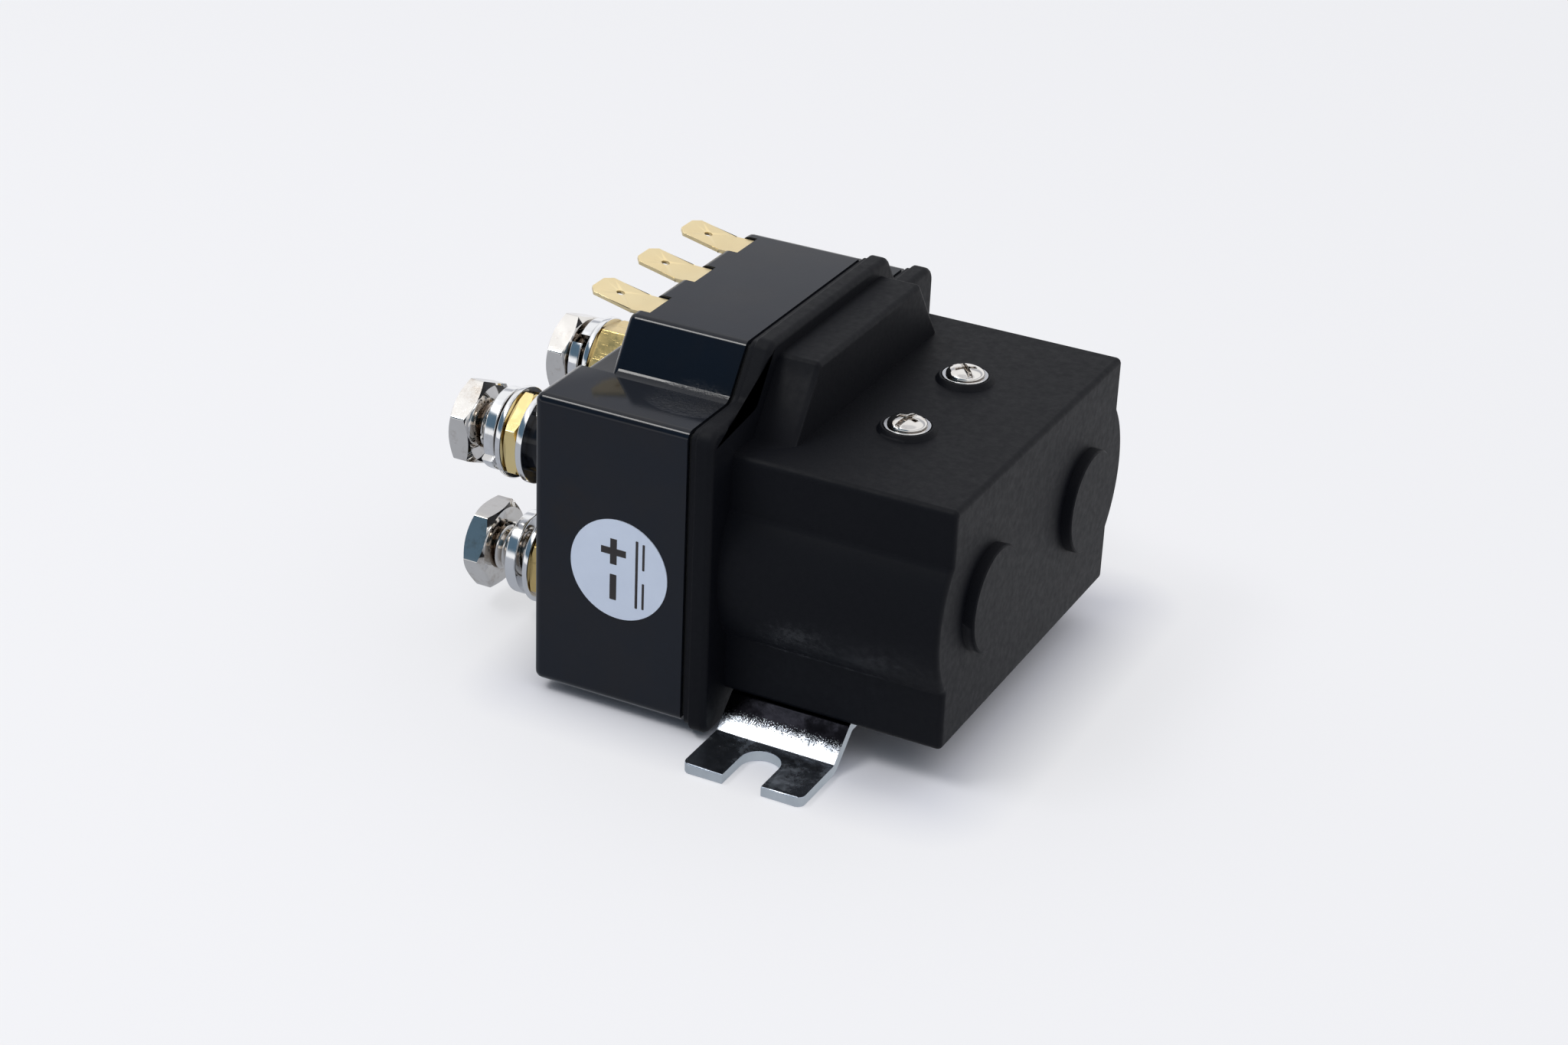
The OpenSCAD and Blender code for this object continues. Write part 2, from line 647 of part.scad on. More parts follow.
module housing_shape() {
    lip = [[flange_x, lip_proud], [flange_x + lip_depth - lip_step, lip_proud]];
    rims = concat(front_rim(flange_x + lip_depth, flange_front_radius), rear_rim(block_x, flange_radius));
    flange = [for (s = rims) [s[0], flange_proud + s[1]]];
    loft([for (s = concat(lip, flange)) ring(house(s[1]), s[0])]);
    loft([for (s = concat([[block_start_x, 0]], rear_rim(rear_x, rim_radius))) ring(block_outline(s[1]), s[0])]);
    loft([for (s = concat([[hump_start_x, 0]], rear_rim(block_x + hump_length, rim_radius)))
        ring(hump_outline(s[1]), s[0])]);
    boss_end_x = rear_x + rear_boss_height;
    for (side = sides) {
        at_coil(side) turned(concat([[0, barrel_start_x], [barrel_radius, barrel_start_x]],
            [for (s = rear_rim(rear_x - eps, rim_radius)) [barrel_radius + s[1], s[0]]],
            [[rear_boss_radius, rear_x - eps], [rear_boss_radius, boss_end_x - boss_chamfer],
            [rear_boss_radius - boss_chamfer, boss_end_x], [0, boss_end_x]]));
        at_top_screw(side) collar();
    }
}

// Each top screw's washer lies on a pad inside a collar and stands a hair above its rim
screw_washer_gap = 0.1;
collar_chamfer = 0.1;
collar_draft = 0.5;
washer_stand = 0.05;
pad_height = collar_height + washer_stand - screw_washer_thickness;
screw_seat = pad_height + screw_washer_thickness;

module at_top_screw(side) {
    translate([screw_x, side * screw_spacing / 2, block_height]) children();
}

module collar() {
    inner = screw_washer_radius + screw_washer_gap;
    rim = collar_radius - collar_draft;
    low = collar_height - collar_chamfer;
    rotate_extrude() polygon([[0, -eps], [collar_radius, -eps], [rim, low], [rim - collar_chamfer, collar_height],
        [inner + collar_chamfer, collar_height], [inner, low], [inner, pad_height], [0, pad_height]]);
}

// The leads pass above the yoke plate into the hump's hollow, and down a slot beside each can's notch
lead_slot = 6.4;
lead_slot_shift = 1.5;
lead_slot_depth = 3.6;
lead_slot_sink = 2.4;
cavity_spread = 3.6;
lead_run_z = yoke_top_z + 2 * lead_radius + 1;
passage_top_z = max(lead_run_z + lead_radius, cavity_floor_z) + lead_clearance;
passage_half = coil_y + lead_radius + 0.2;

module coil_housing() {
    screw_hole = screw_radius + screw_clearance;
    bracket_hole = bracket_screw_radius + screw_clearance;
    bracket_hole_depth = bracket_screw_length - bracket_thickness + thread_runout;
    color([0.09, 0.09, 0.095]) difference() {
        housing_shape();
        for (side = sides) {
            at_coil(side) rod_x(flange_x - over, can_rear_x, housing_bore);
            at_coil(side) rod_x(can_rear_x - over, pocket_end_x, bobbin_bore + pocket_clearance);
            at_top_screw(side) translate([0, 0, -screw_length - thread_runout])
                cylinder(h = screw_length + thread_runout + over, r = screw_hole);
            translate([0, side * screw_spacing / 2, block_lift - over])
                cylinder(h = bracket_hole_depth + over, r = bracket_hole);
            translate([block_x - eps, side * (coil_y - lead_slot_shift) - lead_slot / 2,
                coil_height + can_radius - lead_slot_sink])
                cube([lead_slot_depth, lead_slot, passage_top_z - coil_height - can_radius + lead_slot_sink]);
        }
        translate([flange_x - over, -yoke_width / 2 - yoke_clearance, yoke_top_z - yoke_height - yoke_clearance])
            cube([flange_thickness + over, yoke_width + 2 * yoke_clearance, yoke_height + 2 * yoke_clearance]);
        translate([flange_x - over, -passage_half, yoke_top_z])
            cube([flange_thickness + over, 2 * passage_half, passage_top_z - yoke_top_z]);
        along_x(flange_x - over, block_x + hump_length - hump_wall)
            polygon([[-hump_inner - cavity_spread, cavity_floor_z], [hump_inner + cavity_spread, cavity_floor_z],
                [hump_inner, hump_height - hump_wall], [-hump_inner, hump_height - hump_wall]]);
    }
}

foot_edge = 0.2;
foot_corner = 1.3;

module mounting_bracket() {
    t = bracket_thickness;
    y1 = riser_spacing / 2;
    y2 = y1 + riser_run;
    foot_y = slot_spacing / 2 + foot_overhang;
    bend_shift = t * tan(atan((block_lift - t) / riser_run) / 2);
    outer = bend_radius + t;
    half = [[y1, block_lift, outer], [y2, t, bend_radius], [foot_y, t, foot_edge], [foot_y, 0, foot_edge],
        [y2 - bend_shift, 0, outer], [y1 - bend_shift, block_lift - t, bend_radius]];
    strip = concat([for (c = half) c], [for (i = [len(half) - 1:-1:0]) [-half[i][0], half[i][1], half[i][2]]]);
    plan_half = [bracket_width / 2, foot_y];
    color([0.72, 0.74, 0.77]) difference() {
        intersection() {
            along_x(-bracket_width / 2, bracket_width / 2) polygon(rounded(strip));
            linear_extrude(block_lift + over) polygon(rounded([[-plan_half.x, -plan_half.y, foot_corner],
                [plan_half.x, -plan_half.y, foot_corner], [plan_half.x, plan_half.y, foot_corner],
                [-plan_half.x, plan_half.y, foot_corner]]));
        }
        for (side = sides) {
            translate([0, side * slot_spacing / 2, -over]) cylinder(h = t + 2 * over, r = slot_width / 2);
            translate([-slot_width / 2, side > 0 ? slot_spacing / 2 : -foot_y - over, -over])
                cube([slot_width, foot_overhang + over, t + 2 * over]);
            translate([0, side * screw_spacing / 2, 0])
                cylinder(h = block_lift + over, r = bracket_screw_radius + washer_clearance);
        }
    }
}

// A domed head, its underside at z = 0, with a slot and a cross in its face
slot_depth = 0.7;
cross_depth = 0.95;
head_chamfer = 0.1;
head_rim = 0.2;
dome_steps = 9;

module pan_head(r, h, slot) {
    arm = r * 0.55;
    cross = slot * 1.1;
    difference() {
        rotate_extrude() polygon(concat([[0, 0], [r - head_chamfer, 0], [r, head_chamfer]],
            [for (i = [0:dome_steps - 1]) let(a = 90 * i / dome_steps) [r * cos(a), head_rim + (h - head_rim) * sin(a)]],
            [[0, h]]));
        translate([-r - over, -slot / 2, h - slot_depth]) cube([2 * r + 2 * over, slot, slot_depth + over]);
        for (a = [0, 90]) rotate([0, 0, a])
            translate([-arm, -cross / 2, h - cross_depth]) cube([2 * arm, cross, cross_depth + over]);
    }
}

screw_slot = 0.8;
bracket_slot = 1;

module top_screws() {
    color([0.75, 0.75, 0.74]) for (side = sides) at_top_screw(side) {
        translate([0, 0, screw_seat]) rotate([0, 0, side == near ? 79 : 130])
            pan_head(screw_head_radius, screw_head_height, screw_slot);
        translate([0, 0, -screw_length]) cylinder(h = screw_length + screw_seat + eps, r = screw_radius);
    }
}

module top_screw_washers() {
    color([0.7, 0.71, 0.72]) for (side = sides) at_top_screw(side) difference() {
        translate([0, 0, pad_height]) cylinder(h = screw_washer_thickness, r = screw_washer_radius);
        translate([0, 0, pad_height - over])
            cylinder(h = screw_washer_thickness + 2 * over, r = screw_radius + screw_washer_gap);
    }
}

module bracket_screws() {
    color([0.72, 0.72, 0.71]) for (side = sides)
        translate([0, side * screw_spacing / 2, block_lift - bracket_thickness]) {
            rotate([180, 0, 0]) pan_head(bracket_screw_head, bracket_screw_height, bracket_slot);
            translate([0, 0, -eps]) cylinder(h = bracket_screw_length, r = bracket_screw_radius);
        }
}

// Bolt with a chamfered hexagon head; the head's bearing face lies at x = 0 and the shank runs to +X
plain_shank = 0.5;
bolt_tip = 1.2;
bolt_chamfer = 0.8;
bearing_chamfer = 0.4;
face_share = 0.95;
corner_reach = hex_corner + 0.1;

module hex_bolt(angle) {
    turns = floor((bolt_length - bolt_tip) / bolt_pitch);
    face_radius = hex_flats / 2 * face_share;
    intersection() {
        hexagon_x(-bolt_head, 0, angle);
        turned([[0, -bolt_head - eps], [face_radius, -bolt_head - eps], [corner_reach, bolt_chamfer - bolt_head],
            [corner_reach, -bearing_chamfer], [hex_corner - bearing_chamfer, eps], [0, eps]]);
    }
    turned(concat([[0, -eps], [bolt_radius, -eps], [bolt_radius, plain_shank]],
        [for (i = [0:turns - 1]) each [[thread_root, plain_shank + (i + 0.5) * bolt_pitch],
            [bolt_radius, plain_shank + (i + 1) * bolt_pitch]]],
        [[thread_root, bolt_length], [0, bolt_length]]));
}

module terminal_bolts() {
    color([0.78, 0.78, 0.77]) for (t = terminals) at_terminal(t) translate([head_x(t), 0, 0]) hex_bolt(t[7]);
}

module flat_washers() {
    color([0.7, 0.72, 0.74]) for (t = terminals) at_terminal(t) translate([seat_x(t) - washer_thickness, 0, 0])
        difference() {
            rod_x(0, washer_thickness, washer_radius);
            rod_x(-over, washer_thickness + over, washer_bore);
        }
}

// One turn of square wire whose ends are sprung apart
module lock_washer(turn) {
    steps = 36;
    open = 346;
    loft([for (i = [0:steps])
        let(a = turn + open * i / steps, x = lock_rise * i / steps, c = cos(a), s = sin(a))
        [[x, washer_bore * c, washer_bore * s], [x + lock_thickness, washer_bore * c, washer_bore * s],
            [x + lock_thickness, lock_radius * c, lock_radius * s], [x, lock_radius * c, lock_radius * s]]]);
}

module lock_washers() {
    gap_turns = [210, 300, 137, 60];
    color([0.7, 0.7, 0.7]) for (i = [0:len(terminals) - 1])
        at_terminal(terminals[i]) translate([lock_x(terminals[i]) - lock_thickness - lock_rise, 0, 0])
            lock_washer(gap_turns[i]);
}

module post_washer() {
    color([0.7, 0.72, 0.74]) at_terminal(near_upper)
        translate([boss_top_x(near_upper) - post_washer_thickness, 0, 0]) difference() {
            rod_x(0, post_washer_thickness, washer_radius);
            rod_x(-over, post_washer_thickness + over, washer_bore);
        }
}

nut_chamfer = 0.55;
nut_face_share = 0.97;

module post_nut() {
    x0 = seat_x(near_upper);
    x1 = x0 + post_nut_thickness;
    face_radius = hex_flats / 2 * nut_face_share;
    color([0.83, 0.68, 0.32]) at_terminal(near_upper) difference() {
        intersection() {
            hexagon_x(x0, x1, near_upper[8]);
            turned([[0, x0 - eps], [face_radius, x0 - eps], [corner_reach, x0 + nut_chamfer],
                [corner_reach, x1 - nut_chamfer], [face_radius, x1 + eps], [0, x1 + eps]]);
        }
        rod_x(x0 - over, x1 + over, thread_bore);
    }
}

// Brass post through the boss: hexagon outside, shank inside, and a blind thread for the bolt
module terminal_post(t) {
    hole_end = head_x(t) + bolt_length + thread_runout;
    color([0.78, 0.64, 0.3]) at_terminal(t) difference() {
        union() {
            rod_x(boss_top_x(t), plate_face_x, post_radius);
            if (t[3] > 0) hexagon_x(boss_top_x(t) - t[3], boss_top_x(t) + eps, t[8]);
        }
        rod_x(boss_top_x(t) - t[3] - over, hole_end, thread_bore);
    }
}

// A strap with rounded ends that reaches half its width past two points of the Y-Z plane
end_rounding = 0.9;

module strap(p, q, width) {
    run = q - p;
    half = width / 2;
    r = half * end_rounding;
    translate(p) rotate(atan2(run.y, run.x)) polygon(rounded([[-half, -half, r], [norm(run) + half, -half, r],
        [norm(run) + half, half, r], [-half, half, r]]));
}

module fixed_contact_plates() {
    color([0.72, 0.42, 0.28]) for (t = terminals) along_x(inner_face_x, plate_face_x) difference() {
        strap(terminal_yz(t), tip_yz(t), plate_width);
        translate(terminal_yz(t)) circle(post_bore);
    }
}

module fixed_contact_tips() {
    color([0.85, 0.85, 0.83]) for (t = terminals)
        translate([0, tip_yz(t).x, tip_yz(t).y]) rod_x(plate_face_x, fixed_tip_face_x, tip_radius);
}

// A blade tab: flat root in its notch, blade bent up in front, leg down into the cover
tip_run = 1.1;
tip_cut = 1.4;
bend_overlap = 0.05;

module blade_tab(y) {
    top = plateau_height - tab_sink;
    half = tab_width / 2;
    bend_x = plateau_x - tab_bend;
    root_end = plateau_x + tab_root;
    color([0.82, 0.72, 0.46]) translate([0, y, 0]) {
        translate([bend_x, 0, top - tab_thickness]) rotate([0, blade_angle, 0]) difference() {
            linear_extrude(tab_thickness) polygon([[0, -half], [0, half], [tip_run - blade_length, half],
                [-blade_length, half - tip_cut], [-blade_length, tip_cut - half], [tip_run - blade_length, -half]]);
            translate([tab_hole_inset - blade_length, 0, -over])
                cylinder(h = tab_thickness + 2 * over, r = tab_hole, $fn = 32);
        }
        translate([bend_x - bend_overlap, -half, top - tab_thickness])
            cube([root_end - bend_x + bend_overlap, tab_width, tab_thickness]);
        translate([root_end - tab_thickness, -half, tab_leg_end]) cube([tab_thickness, tab_width, top - tab_leg_end]);
    }
}

// Leads leave a tab's leg, pass over the yoke plate and dip into the coil behind it
tab_leg_x = plateau_x + tab_root;
lead_gap = 0.1;
lead_start_x = tab_leg_x + lead_gap;
lead_rise = 0.2;
lead_start_z = tab_leg_end + lead_radius + lead_rise;
lead_middle_x = (tab_leg_x + flange_x) / 2;
lead_run = 1.9;
lead_offset = 0.5;
common_offset = 3.1;
lead_down_x = block_x + lead_run;
lead_down_y = coil_y - lead_offset;
common_y = coil_y - common_offset;
lead_bend = 2;
lead_corner = 0.6;
function lead_landing(y) =
    coil_height + sqrt(pow(winding_outer, 2) - pow(max(0, coil_y - y - lead_radius), 2)) + lead_gap;

// First points of a lead at its tab: square off the leg, then down to the given height
function lead_start(y, z) = [[lead_start_x, y, lead_start_z], [lead_start_x + lead_bend, y, lead_start_z],
    [lead_middle_x, y, z + lead_corner]];

module coil_lead(side) {
    color([0.55, 0.08, 0.07]) swept(smooth_route(concat(lead_start(side * tab_pitch, lead_run_z), [
        [flange_x, side * tab_pitch, lead_run_z],
        [block_x, side * (lead_down_y - lead_corner), lead_run_z],
        [lead_down_x - lead_corner, side * lead_down_y, lead_run_z - lead_corner],
        [lead_down_x, side * lead_down_y, lead_run_z - lead_bend],
        [lead_down_x, side * lead_down_y, lead_landing(lead_down_y)]]), 4), lead_radius, 8, [0, 1, 0]);
}

// The stretch of the common lead above one coil, from the middle down to the winding
function common_drop(side) = [
    [lead_down_x, side * common_y, lead_landing(common_y)],
    [lead_down_x, side * common_y, common_z - lead_bend],
    [lead_down_x, side * (common_y - lead_bend), common_z]];

module common_lead() {
    far_drop = common_drop(far);
    color([0.12, 0.12, 0.13]) {
        swept(smooth_route(concat(lead_start(0, common_z - lead_corner), [[lead_down_x, 0, common_z]]), 5),
            lead_radius, 8, [0, 1, 0]);
        swept(smooth_route(concat(common_drop(near), [[lead_down_x, 0, common_z]],
            [far_drop[2], far_drop[1], far_drop[0]]), 5), lead_radius, 8, [1, 0, 0]);
    }
}

yoke_corner = 3;

module yoke_plate() {
    half = [yoke_width / 2, yoke_height / 2];
    color([0.6, 0.6, 0.6]) along_x(yoke_x, block_x) difference() {
        translate([0, coil_height]) polygon(rounded([[-half.x, -half.y, yoke_corner], [half.x, -half.y, yoke_corner],
            [half.x, half.y, yoke_corner], [-half.x, half.y, yoke_corner]]));
        for (side = sides) translate([side * coil_y, coil_height]) circle(spigot_radius + press_clearance);
    }
}

// A notch for the leads in the rim of a can or a bobbin, from the given height above the coil axis
module lead_notch(side, z) {
    translate([block_x - over, -side * lead_slot_shift - lead_slot / 2, z])
        cube([lead_slot_depth + over, lead_slot, can_radius + over - z]);
}

// Steel cup round the coil, with a notch for the coil's leads
module coil_can(side) {
    color([0.55, 0.55, 0.56]) at_coil(side) difference() {
        rod_x(block_x, can_rear_x, can_radius);
        rod_x(block_x - over, bobbin_rear_x, can_bore);
        rod_x(bobbin_rear_x - over, can_rear_x + over, bobbin_bore + can_hole_clearance);
        lead_notch(side, winding_outer - winding_clearance);
    }
}

notch_sink = 0.6;

module bobbin(side) {
    flange = can_bore - flange_clearance;
    color([0.9, 0.9, 0.86]) at_coil(side) difference() {
        turned([[bobbin_bore, block_x], [flange, block_x], [flange, block_x + bobbin_flange],
            [bobbin_tube, block_x + bobbin_flange], [bobbin_tube, bobbin_rear_x - bobbin_flange],
            [flange, bobbin_rear_x - bobbin_flange], [flange, bobbin_rear_x], [bobbin_bore, bobbin_rear_x]]);
        lead_notch(side, winding_outer - notch_sink);
    }
}

module winding(side) {
    color([0.75, 0.38, 0.18]) at_coil(side) difference() {
        rod_x(block_x + bobbin_flange, bobbin_rear_x - bobbin_flange, winding_outer);
        rod_x(block_x, bobbin_rear_x, winding_inner);
    }
}

// Fixed core: a spigot through the yoke plate, a bore for the rod and a seat for the return spring
module fixed_core(side) {
    seat_r = spring_mid_radius + spring_wire + pocket_clearance;
    color([0.62, 0.62, 0.63]) at_coil(side) turned([[rod_bore, yoke_x], [spigot_radius, yoke_x],
        [spigot_radius, block_x], [plunger_radius, block_x], [plunger_radius, core_face_x],
        [seat_r, core_face_x], [seat_r, core_face_x - spring_seat_depth],
        [rod_bore, core_face_x - spring_seat_depth]]);
}

// A compression spring about a coil axis, its wire just inside both end planes
module spring(x0, x1, turns) {
    per_turn = 14;
    n = turns * per_turn;
    x_start = x0 + spring_wire + slide_clearance;
    x_run = x1 - x0 - 2 * (spring_wire + slide_clearance);
    swept([for (i = [0:n]) [x_start + x_run * i / n,
        spring_mid_radius * cos(360 * i / per_turn), spring_mid_radius * sin(360 * i / per_turn)]],
        spring_wire, 6, [1, 0, 0]);
}

module return_spring(side) {
    color([0.7, 0.7, 0.72]) at_coil(side) spring(core_face_x - spring_seat_depth, plunger_x, 5);
}

module contact_spring(side) {
    color([0.7, 0.7, 0.72]) at_coil(side) spring(bridge_rear_x, collar_x, 4);
}

module plunger(side) {
    color([0.66, 0.66, 0.67]) at_coil(side) difference() {
        turned([[0, plunger_x], [plunger_radius, plunger_x], [plunger_radius, plunger_rear_x - plunger_chamfer],
            [plunger_radius - plunger_chamfer, plunger_rear_x], [0, plunger_rear_x]]);
        rod_x(plunger_x - over, plunger_x + rod_seat, rod_radius + press_clearance);
    }
}

// Push rod with the collar that carries the contact spring and a groove for the clip
module push_rod(side) {
    clip_x = bridge_face_x - clip_thickness;
    collar_end_x = collar_x + rod_collar_thickness;
    color([0.8, 0.68, 0.36]) at_coil(side) turned([[0, rod_end_x], [rod_radius, rod_end_x],
        [rod_radius, clip_x], [groove_radius, clip_x], [groove_radius, bridge_face_x],
        [rod_radius, bridge_face_x], [rod_radius, collar_x], [rod_collar_radius, collar_x],
        [rod_collar_radius, collar_end_x], [rod_radius, collar_end_x],
        [rod_radius, plunger_x + rod_seat], [0, plunger_x + rod_seat]]);
}

bridge_corner = 1.5;
moving_tip_radius = tip_radius - 0.2;

module contact_bridge(side) {
    reach = tip_offset + bridge_overhang;
    half = bridge_width / 2;
    color([0.74, 0.42, 0.26]) at_coil(side) along_x(bridge_face_x, bridge_rear_x) difference() {
        polygon(rounded([[-half, -reach, bridge_corner], [half, -reach, bridge_corner],
            [half, reach, bridge_corner], [-half, reach, bridge_corner]]));
        circle(rod_radius + slide_clearance);
    }
}

module moving_tips(side) {
    color([0.85, 0.85, 0.83]) at_coil(side) for (z = [-tip_offset, tip_offset])
        translate([0, 0, z]) rod_x(moving_tip_face_x, bridge_face_x, moving_tip_radius);
}

module rod_clip(side) {
    color([0.5, 0.5, 0.52]) at_coil(side) along_x(bridge_face_x - clip_thickness, bridge_face_x) difference() {
        circle(rod_radius + clip_width);
        circle(groove_radius + press_clearance);
        translate([-groove_radius, 0]) square([2 * groove_radius, rod_radius + clip_width + over]);
    }
}

module rating_label() {
    color([0.93, 0.93, 0.93]) translate([face_x + label_x, -cover_width / 2, label_height])
        rotate([90, 0, 0]) cylinder(h = label_thickness, r = label_radius);
}

terminal_cover();
cover_gasket();
coil_housing();
mounting_bracket();
bracket_screws();
top_screws();
top_screw_washers();
terminal_bolts();
lock_washers();
flat_washers();
post_washer();
post_nut();
terminal_post(near_upper);  // terminal_post_near_upper
terminal_post(near_lower);  // terminal_post_near_lower
terminal_post(far_upper);  // terminal_post_far_upper
terminal_post(far_lower);  // terminal_post_far_lower
fixed_contact_plates();
fixed_contact_tips();
blade_tab(-tab_pitch);  // tab_near
blade_tab(0);  // tab_middle
blade_tab(tab_pitch);  // tab_far
coil_lead(near);  // coil_lead_near
coil_lead(far);  // coil_lead_far
common_lead();
yoke_plate();
coil_can(near);  // coil_can_near
coil_can(far);  // coil_can_far
bobbin(near);  // bobbin_near
bobbin(far);  // bobbin_far
winding(near);  // winding_near
winding(far);  // winding_far
fixed_core(near);  // fixed_core_near
fixed_core(far);  // fixed_core_far
return_spring(near);  // return_spring_near
return_spring(far);  // return_spring_far
plunger(near);  // plunger_near
plunger(far);  // plunger_far
push_rod(near);  // push_rod_near
push_rod(far);  // push_rod_far
contact_bridge(near);  // contact_bridge_near
contact_bridge(far);  // contact_bridge_far
moving_tips(near);  // moving_tips_near
moving_tips(far);  // moving_tips_far
contact_spring(near);  // contact_spring_near
contact_spring(far);  // contact_spring_far
rod_clip(near);  // rod_clip_near
rod_clip(far);  // rod_clip_far
rating_label();
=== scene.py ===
# Looks of the winch relay: finishes, threads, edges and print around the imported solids.
# Lengths are in metres, but values with _mm in their names and those of the terminals and the label
# are in millimetres of the row's frame.
import json
import math

import bmesh
import bpy
from mathutils import Matrix, Vector


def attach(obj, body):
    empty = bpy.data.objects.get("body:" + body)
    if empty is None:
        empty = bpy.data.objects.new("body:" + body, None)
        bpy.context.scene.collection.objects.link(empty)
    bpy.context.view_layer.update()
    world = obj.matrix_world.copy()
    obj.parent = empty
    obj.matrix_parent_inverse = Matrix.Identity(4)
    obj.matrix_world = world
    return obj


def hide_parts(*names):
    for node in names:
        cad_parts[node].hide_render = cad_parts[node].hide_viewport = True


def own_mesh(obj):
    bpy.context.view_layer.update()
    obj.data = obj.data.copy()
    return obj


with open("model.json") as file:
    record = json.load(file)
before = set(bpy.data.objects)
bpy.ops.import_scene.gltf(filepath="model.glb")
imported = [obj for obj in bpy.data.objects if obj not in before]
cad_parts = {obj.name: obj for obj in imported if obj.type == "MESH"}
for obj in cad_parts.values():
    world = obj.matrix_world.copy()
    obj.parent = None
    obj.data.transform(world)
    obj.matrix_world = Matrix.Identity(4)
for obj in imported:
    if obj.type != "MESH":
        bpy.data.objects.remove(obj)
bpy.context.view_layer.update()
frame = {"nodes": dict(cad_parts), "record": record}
nodes = frame["nodes"]
body_of = {name: body for body, members in frame["record"]["behaviour"]["bodies"].items() for name in members}
slot_of = {row["node"]: row["material_slot"] for row in frame["record"]["subparts"]}
MM = 0.001
FINE_RELIEF = 0.03 * MM
STRAP_THICKNESS_MM = 1.7
scene = bpy.context.scene


# Node trees

class Tree:
    """A material's node tree, with short calls for the nodes that are used here."""

    def __init__(self, name):
        self.material = bpy.data.materials.new(name)
        self.material.use_nodes = True
        self.tree = self.material.node_tree
        self.tree.nodes.clear()
        self.output = self.tree.nodes.new("ShaderNodeOutputMaterial")
        self.shader = self.tree.nodes.new("ShaderNodeBsdfPrincipled")
        self.tree.links.new(self.shader.outputs[0], self.output.inputs["Surface"])
        self.place = self.tree.nodes.new("ShaderNodeTexCoord").outputs["Object"]

    def node(self, kind, **values):
        made = self.tree.nodes.new("ShaderNode" + kind)
        for key, value in values.items():
            setattr(made, key, value)
        return made

    def link(self, source, target):
        self.tree.links.new(source, target)

    def set(self, **values):
        for key, value in values.items():
            self.shader.inputs[key.replace("_", " ")].default_value = value

    def stretched(self, scale, turn):
        mapping = self.node("Mapping")
        mapping.inputs["Scale"].default_value = scale
        mapping.inputs["Rotation"].default_value = turn
        self.link(self.place, mapping.inputs["Vector"])
        return mapping.outputs[0]

    def noise(self, scale, detail=3.0, rough=0.55, vector=None):
        made = self.node("TexNoise")
        made.inputs["Scale"].default_value = scale
        made.inputs["Detail"].default_value = detail
        made.inputs["Roughness"].default_value = rough
        self.link(self.place if vector is None else vector, made.inputs["Vector"])
        return made.outputs["Fac"]

    def cells(self, scale):
        made = self.node("TexVoronoi")
        made.inputs["Scale"].default_value = scale
        self.link(self.place, made.inputs["Vector"])
        return made.outputs["Distance"]

    def band(self, source, low, high, start=0.0, end=1.0):
        """The source's range from low to high, mapped to start and end and held there outside it."""
        made = self.node("MapRange", clamp=True)
        for key, value in (("From Min", low), ("From Max", high), ("To Min", start), ("To Max", end)):
            made.inputs[key].default_value = value
        self.link(source, made.inputs["Value"])
        return made.outputs["Result"]

    def math(self, operation, a, b):
        """A sum on sockets or plain numbers."""
        made = self.node("Math", operation=operation)
        for k, value in enumerate((a, b)):
            if isinstance(value, (int, float)):
                made.inputs[k].default_value = value
            else:
                self.link(value, made.inputs[k])
        return made.outputs[0]

    def mix(self, factor, first, second):
        """A blend of two colours, each a socket or a tuple."""
        made = self.node("Mix", data_type="RGBA")
        for socket, value in ((made.inputs[0], factor), (made.inputs[6], first), (made.inputs[7], second)):
            if isinstance(value, (int, float)):
                socket.default_value = value
            elif isinstance(value, (tuple, list)):
                socket.default_value = (*value, 1.0)
            else:
                self.link(value, socket)
        return made.outputs[2]

    def near_place(self, centre_mm, reach_mm):
        """1 at the centre of an ellipsoid of the frame's place, falling to 0 at its surface."""
        shifted = self.node("VectorMath", operation="SUBTRACT")
        shifted.inputs[1].default_value = [v * MM for v in centre_mm]
        self.link(self.place, shifted.inputs[0])
        scaled = self.node("VectorMath", operation="MULTIPLY")
        scaled.inputs[1].default_value = [1 / (v * MM) for v in reach_mm]
        self.link(shifted.outputs[0], scaled.inputs[0])
        length = self.node("VectorMath", operation="LENGTH")
        self.link(scaled.outputs[0], length.inputs[0])
        return self.band(length.outputs["Value"], 0.55, 1.0, 1.0, 0.0)

    def colour(self, source):
        self.link(source, self.shader.inputs["Base Color"])

    def roughness(self, source):
        self.link(source, self.shader.inputs["Roughness"])

    def dust(self, scale, size, patches, patch_edge):
        """Sparse round specks, found only inside some patches."""
        grains = self.band(self.cells(scale), 0.012, size, 1.0, 0.0)
        sparse = self.band(self.noise(patches, 2), patch_edge, patch_edge + 0.04)
        return self.math("MULTIPLY", grains, sparse)

    def bump(self, height, strength, distance=FINE_RELIEF):
        made = self.node("Bump")
        made.inputs["Strength"].default_value = strength
        made.inputs["Distance"].default_value = distance
        self.link(height, made.inputs["Height"])
        self.link(made.outputs[0], self.shader.inputs["Normal"])

    def crevice(self, reach):
        """1 in the open, falling where other surfaces lie within reach."""
        made = self.node("AmbientOcclusion", samples=6)
        made.inputs["Distance"].default_value = reach
        return made.outputs["AO"]


# Finishes. Colours are linear, and each function returns a finished material.

